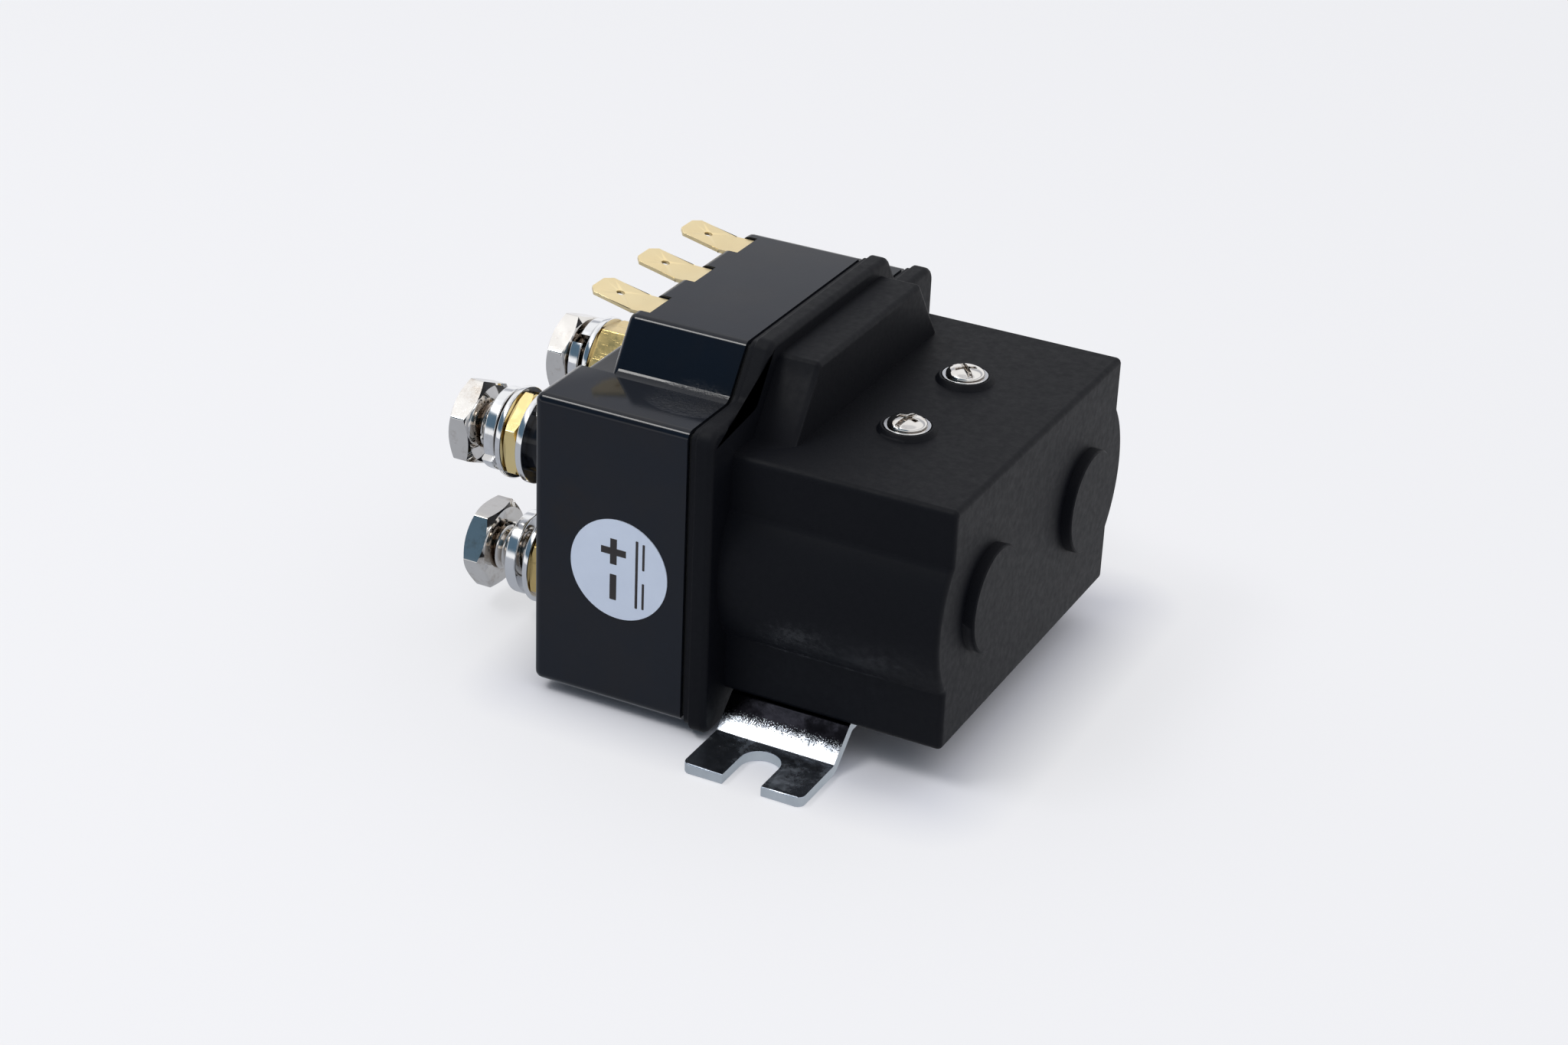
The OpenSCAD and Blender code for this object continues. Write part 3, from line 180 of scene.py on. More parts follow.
def gloss_black():
    """Polished moulded plastic with a thumb mark, a scuffed hollow corner and a little dust."""
    t = Tree("gloss_black")
    smear = t.band(t.noise(85, 4, 0.6), 0.42, 0.68)
    fine = t.noise(2600, 2)
    speck = t.dust(330, 0.03, 140, 0.60)
    base = t.mix(smear, (0.0045, 0.0070, 0.0130), (0.0070, 0.0080, 0.0120))
    on_face = t.near_place((-35, -37, 33), (5, 3, 6))
    thumb_mark = t.math("MULTIPLY", on_face, t.band(t.noise(220, 5, 0.7), 0.3, 0.7))
    base = t.mix(t.math("MULTIPLY", thumb_mark, 0.7), base, (0.0105, 0.0085, 0.0080))
    t.colour(t.mix(t.math("MULTIPLY", speck, 0.55), base, (0.22, 0.22, 0.23)))
    gloss = t.band(t.noise(60, 5, 0.65), 0.3, 0.75, 0.05, 0.13)
    in_corner = t.near_place((-20.5, -27.5, 51), (8, 5, 3))
    scuffed = t.math("MULTIPLY", in_corner, t.band(t.noise(1500, 4, 0.7), 0.3, 0.7))
    gloss = t.math("ADD", gloss, t.math("MULTIPLY", scuffed, 0.32))
    t.roughness(t.math("ADD", gloss, t.math("MULTIPLY", speck, 0.4)))
    t.set(IOR=1.49, Specular_IOR_Level=0.36)
    pits = t.math("MULTIPLY", t.math("MULTIPLY", scuffed, t.noise(1300, 2)), 70.0)
    t.bump(t.math("ADD", fine, pits), 0.10)
    return t.material


def satin_black():
    """Moulded plastic with an even fine grain."""
    t = Tree("satin_black")
    cloud = t.noise(45, 4, 0.6)
    grain = t.noise(5200, 3, 0.6)
    speck = t.dust(300, 0.028, 120, 0.61)
    base = t.mix(cloud, (0.0006, 0.0012, 0.0036), (0.0024, 0.0030, 0.0056))
    t.colour(t.mix(t.math("MULTIPLY", speck, 0.6), base, (0.20, 0.20, 0.21)))
    t.roughness(t.band(t.noise(900, 3), 0.25, 0.75, 0.52, 0.64))
    t.set(IOR=1.47, Specular_IOR_Level=0.20)
    t.bump(grain, 0.35, 0.04 * MM)
    return t.material


def seal_rubber():
    t = Tree("seal_rubber")
    t.colour(t.mix(t.noise(300), (0.006, 0.006, 0.007), (0.014, 0.014, 0.015)))
    t.roughness(t.band(t.noise(700), 0.2, 0.8, 0.55, 0.75))
    t.bump(t.noise(1800), 0.2)
    return t.material


def metal(name, low, high, rough, cloud=120, grain=3000, bump=0.12, stain=None, scratch=0.0, crevice_shade=None,
          metallic=1.0):
    """Bare or plated metal: cloudy tone, uneven gloss, fine grain, then stains, scratches or painted shade in
    crevices.
    """
    t = Tree(name)
    t.set(Metallic=metallic)
    tone = t.mix(t.noise(cloud, 4, 0.6), low, high)
    gloss = t.band(t.noise(cloud * 2.5, 5, 0.65), 0.3, 0.72, *rough)
    if stain:
        colour, amount = stain
        spot = t.band(t.noise(cloud * 1.7, 6, 0.7), 0.54, 0.72, 0.0, amount)
        tone = t.mix(spot, tone, colour)
        gloss = t.math("ADD", gloss, t.math("MULTIPLY", spot, 0.06))
    height = t.noise(grain, 3, 0.6)
    if scratch:
        lines = t.noise(60, 4, 0.7, t.stretched((3, 60, 4), (0.3, 0.2, 0.5)))
        mark = t.band(lines, 0.60, 0.68, 0.0, scratch)
        tone = t.mix(mark, tone, tuple(0.30 * v for v in low))
        height = t.math("SUBTRACT", height, t.math("MULTIPLY", mark, 2.0))
    # Painted shade: where other surfaces lie close, the tone is darkened towards a brownish colour.
    if crevice_shade:
        hidden = t.band(t.crevice(1.6 * MM), 0.25, 0.75, 1.0, 0.0)
        tone = t.mix(t.math("MULTIPLY", hidden, 0.75), tone, crevice_shade)
    t.colour(tone)
    t.roughness(gloss)
    t.bump(height, bump)
    return t.material


def zinc_plate():
    """Bright zinc with smudges, and a painted reflection of the dark housing, near black and speckled, on the
    slope that runs in below the housing.
    """
    t = Tree("zinc_steel")
    t.set(Metallic=0.985)
    tone = t.mix(t.noise(260, 4, 0.6), (0.58, 0.65, 0.76), (0.80, 0.85, 0.92))
    parts = t.node("SeparateXYZ")
    t.link(t.place, parts.inputs[0])
    # Painted reflection of the dark housing: higher up the slope the colour goes near black, with speckles.
    slope_low, slope_high = 2.0 * MM, 4.6 * MM
    height = t.band(parts.outputs["Z"], slope_low, slope_high)
    speckled = t.math("ADD", height, t.band(t.noise(6500, 3, 0.75), 0.32, 0.68, -0.42, 0.42))
    painted_reflection = t.band(speckled, 0.38, 0.56, 0.0, 0.999)
    t.colour(t.mix(painted_reflection, tone, (0.002, 0.002, 0.003)))
    smudge = t.band(t.noise(170, 5, 0.7), 0.48, 0.66)
    gloss = t.band(t.noise(650, 4, 0.65), 0.3, 0.72, 0.10, 0.26)
    t.roughness(t.math("ADD", gloss, t.math("MULTIPLY", smudge, 0.26)))
    t.bump(t.noise(1900, 3, 0.6), 0.35)
    return t.material


def plain_plastic(name, low, high, rough):
    t = Tree(name)
    t.colour(t.mix(t.noise(240, 4), low, high))
    t.roughness(t.band(t.noise(500, 3), 0.25, 0.75, *rough))
    t.bump(t.noise(2400, 2), 0.15)
    return t.material


def wound_copper():
    """Enamelled wire: the turns show as fine rings round the coil's axis."""
    t = Tree("winding_copper")
    wave = t.node("TexWave", wave_type="BANDS", bands_direction="X")
    wave.inputs["Scale"].default_value = 500
    wave.inputs["Distortion"].default_value = 0.4
    t.link(t.place, wave.inputs["Vector"])
    t.set(Metallic=1.0)
    t.colour(t.mix(wave.outputs["Fac"], (0.22, 0.07, 0.025), (0.66, 0.27, 0.10)))
    t.roughness(t.band(t.noise(300), 0.2, 0.8, 0.22, 0.4))
    t.bump(wave.outputs["Fac"], 0.5, 0.1 * MM)
    return t.material


# The nickel and the washers take painted shade, brownish, in their crevices.
nickel = metal("nickel_steel", (0.72, 0.70, 0.67), (0.87, 0.85, 0.82), (0.03, 0.08), 150, 2000, 0.06,
               stain=((0.34, 0.25, 0.17), 0.55), crevice_shade=(0.16, 0.10, 0.05))
washers = metal("bright_washer", (0.80, 0.81, 0.83), (0.93, 0.94, 0.95), (0.06, 0.16), 170, 2400, 0.12,
                stain=((0.42, 0.36, 0.28), 0.25), crevice_shade=(0.20, 0.14, 0.07))
nut_brass = metal("polished_brass", (0.95, 0.70, 0.28), (1.0, 0.84, 0.44), (0.05, 0.13), 150, 1800, 0.10,
                  stain=((0.55, 0.37, 0.13), 0.3))
post_brass = metal("brushed_brass", (0.62, 0.45, 0.17), (0.78, 0.60, 0.27), (0.14, 0.26), 160, 1500, 0.2,
                   stain=((0.26, 0.20, 0.09), 0.4), scratch=0.5)
tab_brass = metal("tab_brass", (0.98, 0.77, 0.41), (1.0, 0.86, 0.53), (0.27, 0.33), 110, 2600, 0.012,
                  stain=((0.78, 0.58, 0.27), 0.25), metallic=0.78)
finishes = {
    "gloss_black": gloss_black(),
    "satin_black": satin_black(),
    "seal_rubber": seal_rubber(),
    "zinc_steel": zinc_plate(),
    "nickel_steel": nickel,
    "bright_washer": washers,
    "polished_brass": nut_brass,
    "brushed_brass": post_brass,
    "tab_brass": tab_brass,
    "contact_copper": metal("contact_copper", (0.56, 0.24, 0.12), (0.72, 0.36, 0.20), (0.2, 0.4)),
    "contact_silver": metal("contact_silver", (0.62, 0.60, 0.56), (0.80, 0.78, 0.74), (0.15, 0.3)),
    "winding_copper": wound_copper(),
    "red_insulation": plain_plastic("red_insulation", (0.30, 0.012, 0.010), (0.42, 0.02, 0.016), (0.35, 0.5)),
    "black_insulation": plain_plastic("black_insulation", (0.01, 0.01, 0.01), (0.02, 0.02, 0.02),
                                      (0.35, 0.5)),
    "bobbin_plastic": plain_plastic("bobbin_plastic", (0.52, 0.51, 0.44), (0.64, 0.63, 0.56), (0.4, 0.55)),
    "plain_steel": metal("plain_steel", (0.30, 0.30, 0.31), (0.46, 0.46, 0.47), (0.25, 0.45)),
    "spring_steel": metal("spring_steel", (0.36, 0.36, 0.38), (0.52, 0.52, 0.54), (0.2, 0.35)),
    "label_paper": plain_plastic("label_paper", (0.61, 0.69, 0.82), (0.68, 0.76, 0.89), (0.35, 0.45)),
}
print_ink = plain_plastic("print_ink", (0.020, 0.016, 0.016), (0.032, 0.026, 0.026), (0.4, 0.5))
cut_edge = metal("cut_edge", (0.60, 0.66, 0.70), (0.80, 0.85, 0.88), (0.38, 0.55), 300, 2000, 0.35)


# Meshes

def keep(mesh_object, name, body, material, replaced=()):
    """Gives a finished mesh its name, body, finish and the solids it stands for."""
    mesh_object.name = name
    mesh_object.data.name = name
    if not mesh_object.data.materials:
        mesh_object.data.materials.append(material)
    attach(mesh_object, body)
    if replaced:
        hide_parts(*replaced)
    return mesh_object


def from_bmesh(bm, name):
    """A new object of the built mesh."""
    mesh = bpy.data.meshes.new(name)
    bm.to_mesh(mesh)
    bm.free()
    made = bpy.data.objects.new(name, mesh)
    scene.collection.objects.link(made)
    return made


def smooth_shaded(made, sharp_deg=32):
    """Smooth shading with sharp edges kept, and flat faces kept flat by area weights."""
    mesh = made.data
    mesh.shade_smooth()
    mesh.set_sharp_from_angle(angle=math.radians(sharp_deg))
    weights = made.modifiers.new("weights", "WEIGHTED_NORMAL")
    weights.keep_sharp = True
    weights.weight = 100
    with bpy.context.temp_override(object=made, active_object=made, selected_objects=[made]):
        bpy.ops.object.modifier_apply(modifier=weights.name)
    return made


def rounded_edges(bm, width):
    """Rounds every edge that turns by more than the limit, with an arc across the given width."""
    limit = math.radians(28)
    edges = [e for e in bm.edges if len(e.link_faces) == 2 and e.calc_face_angle(0) > limit]
    bmesh.ops.bevel(bm, geom=edges, offset=width, offset_type="OFFSET", segments=2, profile=0.5,
                    affect="EDGES", clamp_overlap=False, miter_outer="ARC")


def is_cut_edge(face):
    """The strap's sheared sides and the ends of its feet, which stand below the strap's thickness."""
    if abs(face.normal.x) > 0.9:
        return True
    return abs(face.normal.z) < 0.3 and face.calc_center_median().z < STRAP_THICKNESS_MM * MM


def dressed(node, width_mm=None, sharp_deg=32, edge_material=None, join_faces=True):
    """A welded copy of a solid's mesh whose edges are rounded by the width; it stands for the solid."""
    bm = bmesh.new()
    bm.from_mesh(nodes[node].data)
    bmesh.ops.remove_doubles(bm, verts=bm.verts, dist=0.002 * MM)
    if join_faces:
        bmesh.ops.dissolve_limit(bm, angle_limit=math.radians(0.4), verts=bm.verts, edges=bm.edges)
    if width_mm:
        rounded_edges(bm, width_mm * MM)
    if edge_material:
        for face in bm.faces:
            face.material_index = int(is_cut_edge(face))
    made = smooth_shaded(from_bmesh(bm, node + "_dressed"), sharp_deg)
    slot = slot_of[node]
    if edge_material:
        made.data.materials.append(finishes[slot])
        made.data.materials.append(edge_material)
    return keep(made, node + "_dressed", body_of[node], finishes[slot], [node])


for name, node_object in nodes.items():
    node_object.data.materials.clear()
    node_object.data.materials.append(finishes[slot_of[name]])


def ring_solid(bm, rings, hollow=False):
    """Faces between rings of equal count, closed by caps, or when hollow by a wall from last to first."""
    rows = [[bm.verts.new(p) for p in ring] for ring in rings]
    n = len(rows[0])
    for a, b in zip(rows, rows[1:]):
        for k in range(n):
            bm.faces.new((a[k], a[(k + 1) % n], b[(k + 1) % n], b[k]))
    if hollow:
        first, last = rows[0], rows[-1]
        for k in range(n):
            bm.faces.new((last[k], last[(k + 1) % n], first[(k + 1) % n], first[k]))
    else:
        bm.faces.new(rows[0][::-1])
        bm.faces.new(rows[-1])


def lathe_ring(bm, centre, profile):
    """A ring about X through a closed profile of (x, radius) points."""
    y, z = centre
    count = 96
    columns = []
    for k in range(count):
        a = 2 * math.pi * k / count
        columns.append([bm.verts.new((x * MM, (y + r * math.cos(a)) * MM, (z + r * math.sin(a)) * MM))
                        for x, r in profile])
    n = len(profile)
    for k in range(count):
        a, b = columns[k], columns[(k + 1) % count]
        for i in range(n):
            j = (i + 1) % n
            bm.faces.new((a[i], b[i], b[j], a[j]))


def rounded_box_profile(x0, x1, r0, r1, corner):
    """A closed (x, radius) profile of a flat ring's section with rounded corners."""
    steps = 3
    points = []
    for cx, cr, start in ((x1 - corner, r1 - corner, 0), (x0 + corner, r1 - corner, 90),
                          (x0 + corner, r0 + corner, 180), (x1 - corner, r0 + corner, 270)):
        for i in range(steps + 1):
            a = math.radians(start + 90 * i / steps)
            points.append((cx + corner * math.cos(a), cr + corner * math.sin(a)))
    return points


def hex_outline(corner, angle):
    """Points of a hexagon with rounded corners; one corner lies at the angle above +Y."""
    arc, flat_steps = 4, 8
    far = (HEX_FLATS / 2 - corner) / math.cos(math.radians(30))
    points = []
    for k in range(6):
        at = math.radians(angle + 60 * k)
        centre = (far * math.cos(at), far * math.sin(at))
        for i in range(arc + 1):
            a = at + math.radians(-30 + 60 * i / arc)
            points.append((centre[0] + corner * math.cos(a), centre[1] + corner * math.sin(a)))
        turn = math.radians(angle + 60 * (k + 1))
        following = (far * math.cos(turn), far * math.sin(turn))
        side = math.radians(angle + 60 * k + 30)
        start = points[-1]
        end = (following[0] + corner * math.cos(side), following[1] + corner * math.sin(side))
        for i in range(1, flat_steps):
            s = i / flat_steps
            points.append((start[0] + (end[0] - start[0]) * s, start[1] + (end[1] - start[1]) * s))
    return points


def hex_rings(centre, outline, x0, x1, crown, slope, inner):
    """Rings of a hexagon between x0 and x1, chamfered outside the radius crown and closed to inner."""
    y, z = centre
    reach = [math.hypot(*p) for p in outline]
    rows = []

    def row(x_of, scale_of):
        rows.append([(x_of(r) * MM, (y + p[0] * scale_of(r)) * MM, (z + p[1] * scale_of(r)) * MM)
                     for p, r in zip(outline, reach)])

    row(lambda r: x0, lambda r: inner / r)
    row(lambda r: x0, lambda r: min(crown, r) / r)
    row(lambda r: x0 + max(0, r - crown) * slope, lambda r: 1)
    row(lambda r: x1 - max(0, r - crown) * slope, lambda r: 1)
    row(lambda r: x1, lambda r: min(crown, r) / r)
    row(lambda r: x1, lambda r: inner / r)
    return rows


# Terminals: where each brass post, its washers and its bolt lie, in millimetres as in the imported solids.

TERMINAL_Y = 15.3
UPPER_Z = 31.4
LOWER_Z = 10.4
HEX_FLATS = 13.0
HEAD_HEIGHT = 3.9
BOLT_LENGTH = 16.0
BOLT_RADIUS = 4.0
PITCH = 1.25
BORE_RADIUS = BOLT_RADIUS + 0.05
RING_BORE = BOLT_RADIUS + 0.2
POST_RADIUS = 4.65
POST_END_X = -37.7
NUT_THICKNESS = 2.7
WASHER_RADIUS = 7.5
WASHER_THICKNESS = 1.0
POST_WASHER_THICKNESS = 1.2
LOCK_RADIUS = 6.8
LOCK_THICKNESS = 2.0
LOCK_RISE = 0.9
LOCK_SWEEP = 346
BOSS_FACE = {"near_upper": -52.7, "near_lower": -46.7, "far_upper": -52.7, "far_lower": -46.7}
POST_HEX = {"near_upper": 0.0, "near_lower": 4.9, "far_upper": 6.3, "far_lower": 4.9}
LOOSE_STACK = {"near_upper": 3.9, "near_lower": 0.0, "far_upper": 0.0, "far_lower": 0.0}
LOCK_GAP = {"near_upper": 0.5, "near_lower": 1.4, "far_upper": 0.2, "far_lower": 1.4}
HEAD_GAP = {"near_upper": 1.9, "near_lower": 3.4, "far_upper": 0.3, "far_lower": 3.4}
HEAD_TURN = {"near_upper": 36, "near_lower": 3, "far_upper": 38, "far_lower": 15}
POST_TURN = {"near_upper": 35, "near_lower": 22, "far_upper": 51, "far_lower": 10}
LOCK_TURN = {"near_upper": 210, "near_lower": 300, "far_upper": 137, "far_lower": 60}
TERMINALS = list(BOSS_FACE)


def centre_of(terminal):
    """The terminal's axis as (y, z)."""
    side, level = terminal.split("_")
    return (TERMINAL_Y if side == "far" else -TERMINAL_Y, UPPER_Z if level == "upper" else LOWER_Z)


def seat_of(terminal):
    """The face of the post or of its loose hardware, on which the flat washer lies."""
    return BOSS_FACE[terminal] - POST_HEX[terminal] - LOOSE_STACK[terminal]


def lock_of(terminal):
    """The lock washer's face towards the flat washer."""
    return seat_of(terminal) - WASHER_THICKNESS - LOCK_GAP[terminal]


def head_of(terminal):
    """The bolt head's bearing face."""
    return lock_of(terminal) - LOCK_THICKNESS - LOCK_RISE - HEAD_GAP[terminal]


def threaded_shank(bm, centre, x0, x1):
    """A shank with a helical thread that runs out at x1; its rows of vertices follow the helix."""
    y, z = centre
    count, rows_per_turn = 48, 8
    depth = 0.61 * PITCH
    rings = []
    total = int((x1 - x0) / PITCH * rows_per_turn) + rows_per_turn
    for row in range(-rows_per_turn, total + 1):
        ring = []
        phase = (row % rows_per_turn) / rows_per_turn
        valley = min(1.0, max(0.0, 2.3 * abs(phase - 0.5) - 0.05))
        for k in range(count):
            x = x0 + (row / rows_per_turn + k / count) * PITCH
            tip = min(1.0, max(0.0, (x1 - x) / (0.8 * PITCH)))
            r = BOLT_RADIUS - depth * (1 - valley)
            r = min(r, BOLT_RADIUS - depth + depth * tip)
            a = -2 * math.pi * k / count
            ring.append((min(max(x, x0), x1) * MM, (y + r * math.cos(a)) * MM, (z + r * math.sin(a)) * MM))
        rings.append(ring)
    rows = [[bm.verts.new(p) for p in ring] for ring in rings]

    def following(index, k):
        """The next vertex round the shank, which lies one turn further on at a row's end."""
        if k == count - 1 and index + rows_per_turn < len(rows):
            return rows[index + rows_per_turn][0]
        return rows[index][(k + 1) % count]

    for index in range(len(rows) - 1):
        for k in range(count):
            corners = (rows[index][k], rows[index + 1][k], following(index + 1, k), following(index, k))
            if len(set(corners)) == 4:
                bm.faces.new(corners)


def finish_solid(bm, name, slot, stands_for, sharp_deg=32):
    """Turns a built mesh into a piece on the fixed body."""
    bmesh.ops.recalc_face_normals(bm, faces=bm.faces)
    keep(smooth_shaded(from_bmesh(bm, name), sharp_deg), name, "relay", finishes[slot], [stands_for])


def build_bolts():
    """Bolts with chamfered heads and threads, all in one piece."""
    corner, crown, slope, centre_hole, overlap = 0.45, 6.25, 0.62, 0.01, 0.02
    bm = bmesh.new()
    for terminal in TERMINALS:
        centre = centre_of(terminal)
        head = head_of(terminal)
        outline = hex_outline(corner, HEAD_TURN[terminal])
        ring_solid(bm, hex_rings(centre, outline, head - HEAD_HEIGHT, head, crown, slope, centre_hole))
        threaded_shank(bm, centre, head - overlap, head + BOLT_LENGTH)
    bmesh.ops.remove_doubles(bm, verts=bm.verts, dist=0.0004 * MM)
    bmesh.ops.dissolve_degenerate(bm, dist=0.0002 * MM, edges=bm.edges)
    finish_solid(bm, "terminal_bolts_threaded", "nickel_steel", "terminal_bolts", 24)


def build_washers():
    """Flat washers with rounded rims; the near upper terminal has one more, against its boss."""
    corner = 0.22
    flat = [(centre_of(t), seat_of(t) - WASHER_THICKNESS, seat_of(t)) for t in TERMINALS]
    boss_x = BOSS_FACE["near_upper"]
    post = [(centre_of("near_upper"), boss_x - POST_WASHER_THICKNESS, boss_x)]
    for node, rows in (("flat_washers", flat), ("post_washer", post)):
        bm = bmesh.new()
        for centre, x0, x1 in rows:
            lathe_ring(bm, centre, rounded_box_profile(x0, x1, RING_BORE, WASHER_RADIUS, corner))
        finish_solid(bm, node + "_rounded", "bright_washer", node)


def build_lock_washers():
    """Split rings of square wire with rounded corners, their ends sprung apart."""
    bm = bmesh.new()
    corner, steps = 0.3, 72
    for terminal in TERMINALS:
        y, z = centre_of(terminal)
        x_low = lock_of(terminal) - LOCK_THICKNESS - LOCK_RISE
        rings = []
        for k in range(steps + 1):
            a = math.radians(LOCK_TURN[terminal] + LOCK_SWEEP * k / steps)
            x = x_low + LOCK_RISE * k / steps
            section = rounded_box_profile(x, x + LOCK_THICKNESS, RING_BORE, LOCK_RADIUS, corner)
            rings.append([(px * MM, (y + pr * math.cos(a)) * MM, (z + pr * math.sin(a)) * MM)
                          for px, pr in section])
        ring_solid(bm, rings)
    finish_solid(bm, "lock_washers_sprung", "bright_washer", "lock_washers")


def build_nut():
    """The loose brass nut of the near upper terminal, chamfered at both faces."""
    corner, crown, slope = 0.3, 6.35, 0.55
    outline = hex_outline(corner, POST_TURN["near_upper"])
    x0 = seat_of("near_upper")
    rings = hex_rings(centre_of("near_upper"), outline, x0, x0 + NUT_THICKNESS, crown, slope, BORE_RADIUS)
    bm = bmesh.new()
    ring_solid(bm, rings, hollow=True)
    finish_solid(bm, "post_nut_chamfered", "polished_brass", "post_nut", 24)


def build_posts():
    """The other three brass posts: a chamfered hexagon on a round shank, with the bolt's bore."""
    corner, crown, slope = 0.25, 6.7, 0.55
    for terminal in TERMINALS[1:]:
        y, z = centre_of(terminal)
        boss_x = BOSS_FACE[terminal]
        outline = hex_outline(corner, POST_TURN[terminal])
        rings = hex_rings((y, z), outline, seat_of(terminal), boss_x, crown, slope, BORE_RADIUS)[:-1]
        for x, r in ((boss_x, POST_RADIUS), (POST_END_X, POST_RADIUS), (POST_END_X, BORE_RADIUS)):
            turns = [math.atan2(p[1], p[0]) for p in outline]
            rings.append([(x * MM, (y + r * math.cos(a)) * MM, (z + r * math.sin(a)) * MM) for a in turns])
        bm = bmesh.new()
        ring_solid(bm, rings, hollow=True)
        finish_solid(bm, "post_" + terminal, "brushed_brass", "terminal_post_" + terminal, 24)


# Printed marks on the round label: bars for direct current and the signs of both poles.

LABEL_X = -26.7
LABEL_Z = 25.1
LABEL_FACE = -37.4
DIRECT_CURRENT_BARS = [(3.1, 0.0, 0.45, 11.4), (4.25, 3.2, 0.4, 4.4), (4.25, -3.4, 0.4, 4.4)]
MINUS = (-0.9, -3.1, 1.15, 4.3)
PLUS_CENTRE = (-0.9, 2.9)
PLUS_ARM = 2.15
PLUS_HALF_WIDTH = 0.575


def stroke_outline(x, z, wide, tall):
    """A bar with rounded corners, as (x, z) points about the label's middle."""
    corner = 0.12
    points = []
    for sx, sz, start in ((1, 1, 0), (-1, 1, 90), (-1, -1, 180), (1, -1, 270)):
        for i in range(4):
            a = math.radians(start + 30 * i)
            points.append((LABEL_X + x + sx * (wide / 2 - corner) + corner * math.cos(a),
                           LABEL_Z + z + sz * (tall / 2 - corner) + corner * math.sin(a)))
    return points


def plus_outline():
    """The plus sign's twelve corners."""
    middle_x, middle_z = LABEL_X + PLUS_CENTRE[0], LABEL_Z + PLUS_CENTRE[1]
    arm, half = PLUS_ARM, PLUS_HALF_WIDTH
    points = []
    for c, d in ((1, 0), (0, 1), (-1, 0), (0, -1)):
        for u, v in ((arm, -half), (arm, half), (half, half)):
            points.append((middle_x + c * u - d * v, middle_z + d * u + c * v))
    return points


def build_label_print():
    """Thin flat strokes just in front of the label: X is across it, and the print reads upwards along Z."""
    back_y, front_y = LABEL_FACE + 0.01, LABEL_FACE - 0.015
    bm = bmesh.new()
    for points in [stroke_outline(*row) for row in DIRECT_CURRENT_BARS + [MINUS]] + [plus_outline()]:
        back = [bm.verts.new((px * MM, back_y * MM, pz * MM)) for px, pz in points]
        front = [bm.verts.new((px * MM, front_y * MM, pz * MM)) for px, pz in points]
        bm.faces.new(front)
        bm.faces.new(back[::-1])
        n = len(points)
        for k in range(n):
            bm.faces.new((back[k], back[(k + 1) % n], front[(k + 1) % n], front[k]))
    bmesh.ops.recalc_face_normals(bm, faces=bm.faces)
    made = from_bmesh(bm, "label_marks")
    keep(made, "label_marks", "relay", print_ink)


build_bolts()
build_washers()
build_lock_washers()
build_nut()
build_posts()
build_label_print()
dressed("mounting_bracket", 0.12, edge_material=cut_edge)
for node in ("tab_near", "tab_middle", "tab_far"):
    dressed(node, 0.08, join_faces=False)
for node in ("terminal_cover", "coil_housing"):
    dressed(node)
for node in ("top_screws", "top_screw_washers", "bracket_screws"):
    dressed(node, 0.08)
dressed("rating_label", 0.04)
for side in ("near", "far"):
    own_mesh(dressed("return_spring_" + side, sharp_deg=75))


# Stage: a pale floor, a pale surround with one blue-grey bank in front, and two soft lamps overhead.

FORWARD = (-0.44, -0.90, 0.0)
BACKWARD = (0.44, 0.90, 0.0)
FLOOR_DROP = 0.05 * MM
HORIZON_LEVEL = 0.37
ZENITH_LEVEL = 1.36
LAMP_AIM = (-0.01, 0, 0.03)


def distance_from_foot(t):
    """Distance on the floor from the rectangle that the object covers."""
    centre, half = (-0.0083, 0, 0), (0.0334, 0.0355, 1)
    shifted = t.node("VectorMath", operation="SUBTRACT")
    shifted.inputs[1].default_value = centre
    t.link(t.place, shifted.inputs[0])
    folded = t.node("VectorMath", operation="ABSOLUTE")
    t.link(shifted.outputs[0], folded.inputs[0])
    outside = t.node("VectorMath", operation="SUBTRACT")
    outside.inputs[1].default_value = half
    t.link(folded.outputs[0], outside.inputs[0])
    clipped = t.node("VectorMath", operation="MAXIMUM")
    t.link(outside.outputs[0], clipped.inputs[0])
    length = t.node("VectorMath", operation="LENGTH")
    t.link(clipped.outputs[0], length.inputs[0])
    return length.outputs["Value"]


def seen_glow(t, shader, seen, share, colour):
    """Blends a share of glow into a surface where seen is 1; the colour is a socket or a tuple."""
    glow = t.node("Emission")
    if isinstance(colour, tuple):
        glow.inputs["Color"].default_value = (*colour, 1.0)
    else:
        t.link(colour, glow.inputs["Color"])
    blend = t.node("MixShader")
    t.link(t.math("MULTIPLY", seen, share), blend.inputs[0])
    t.link(shader, blend.inputs[1])
    t.link(glow.outputs[0], blend.inputs[2])
    return blend.outputs[0]


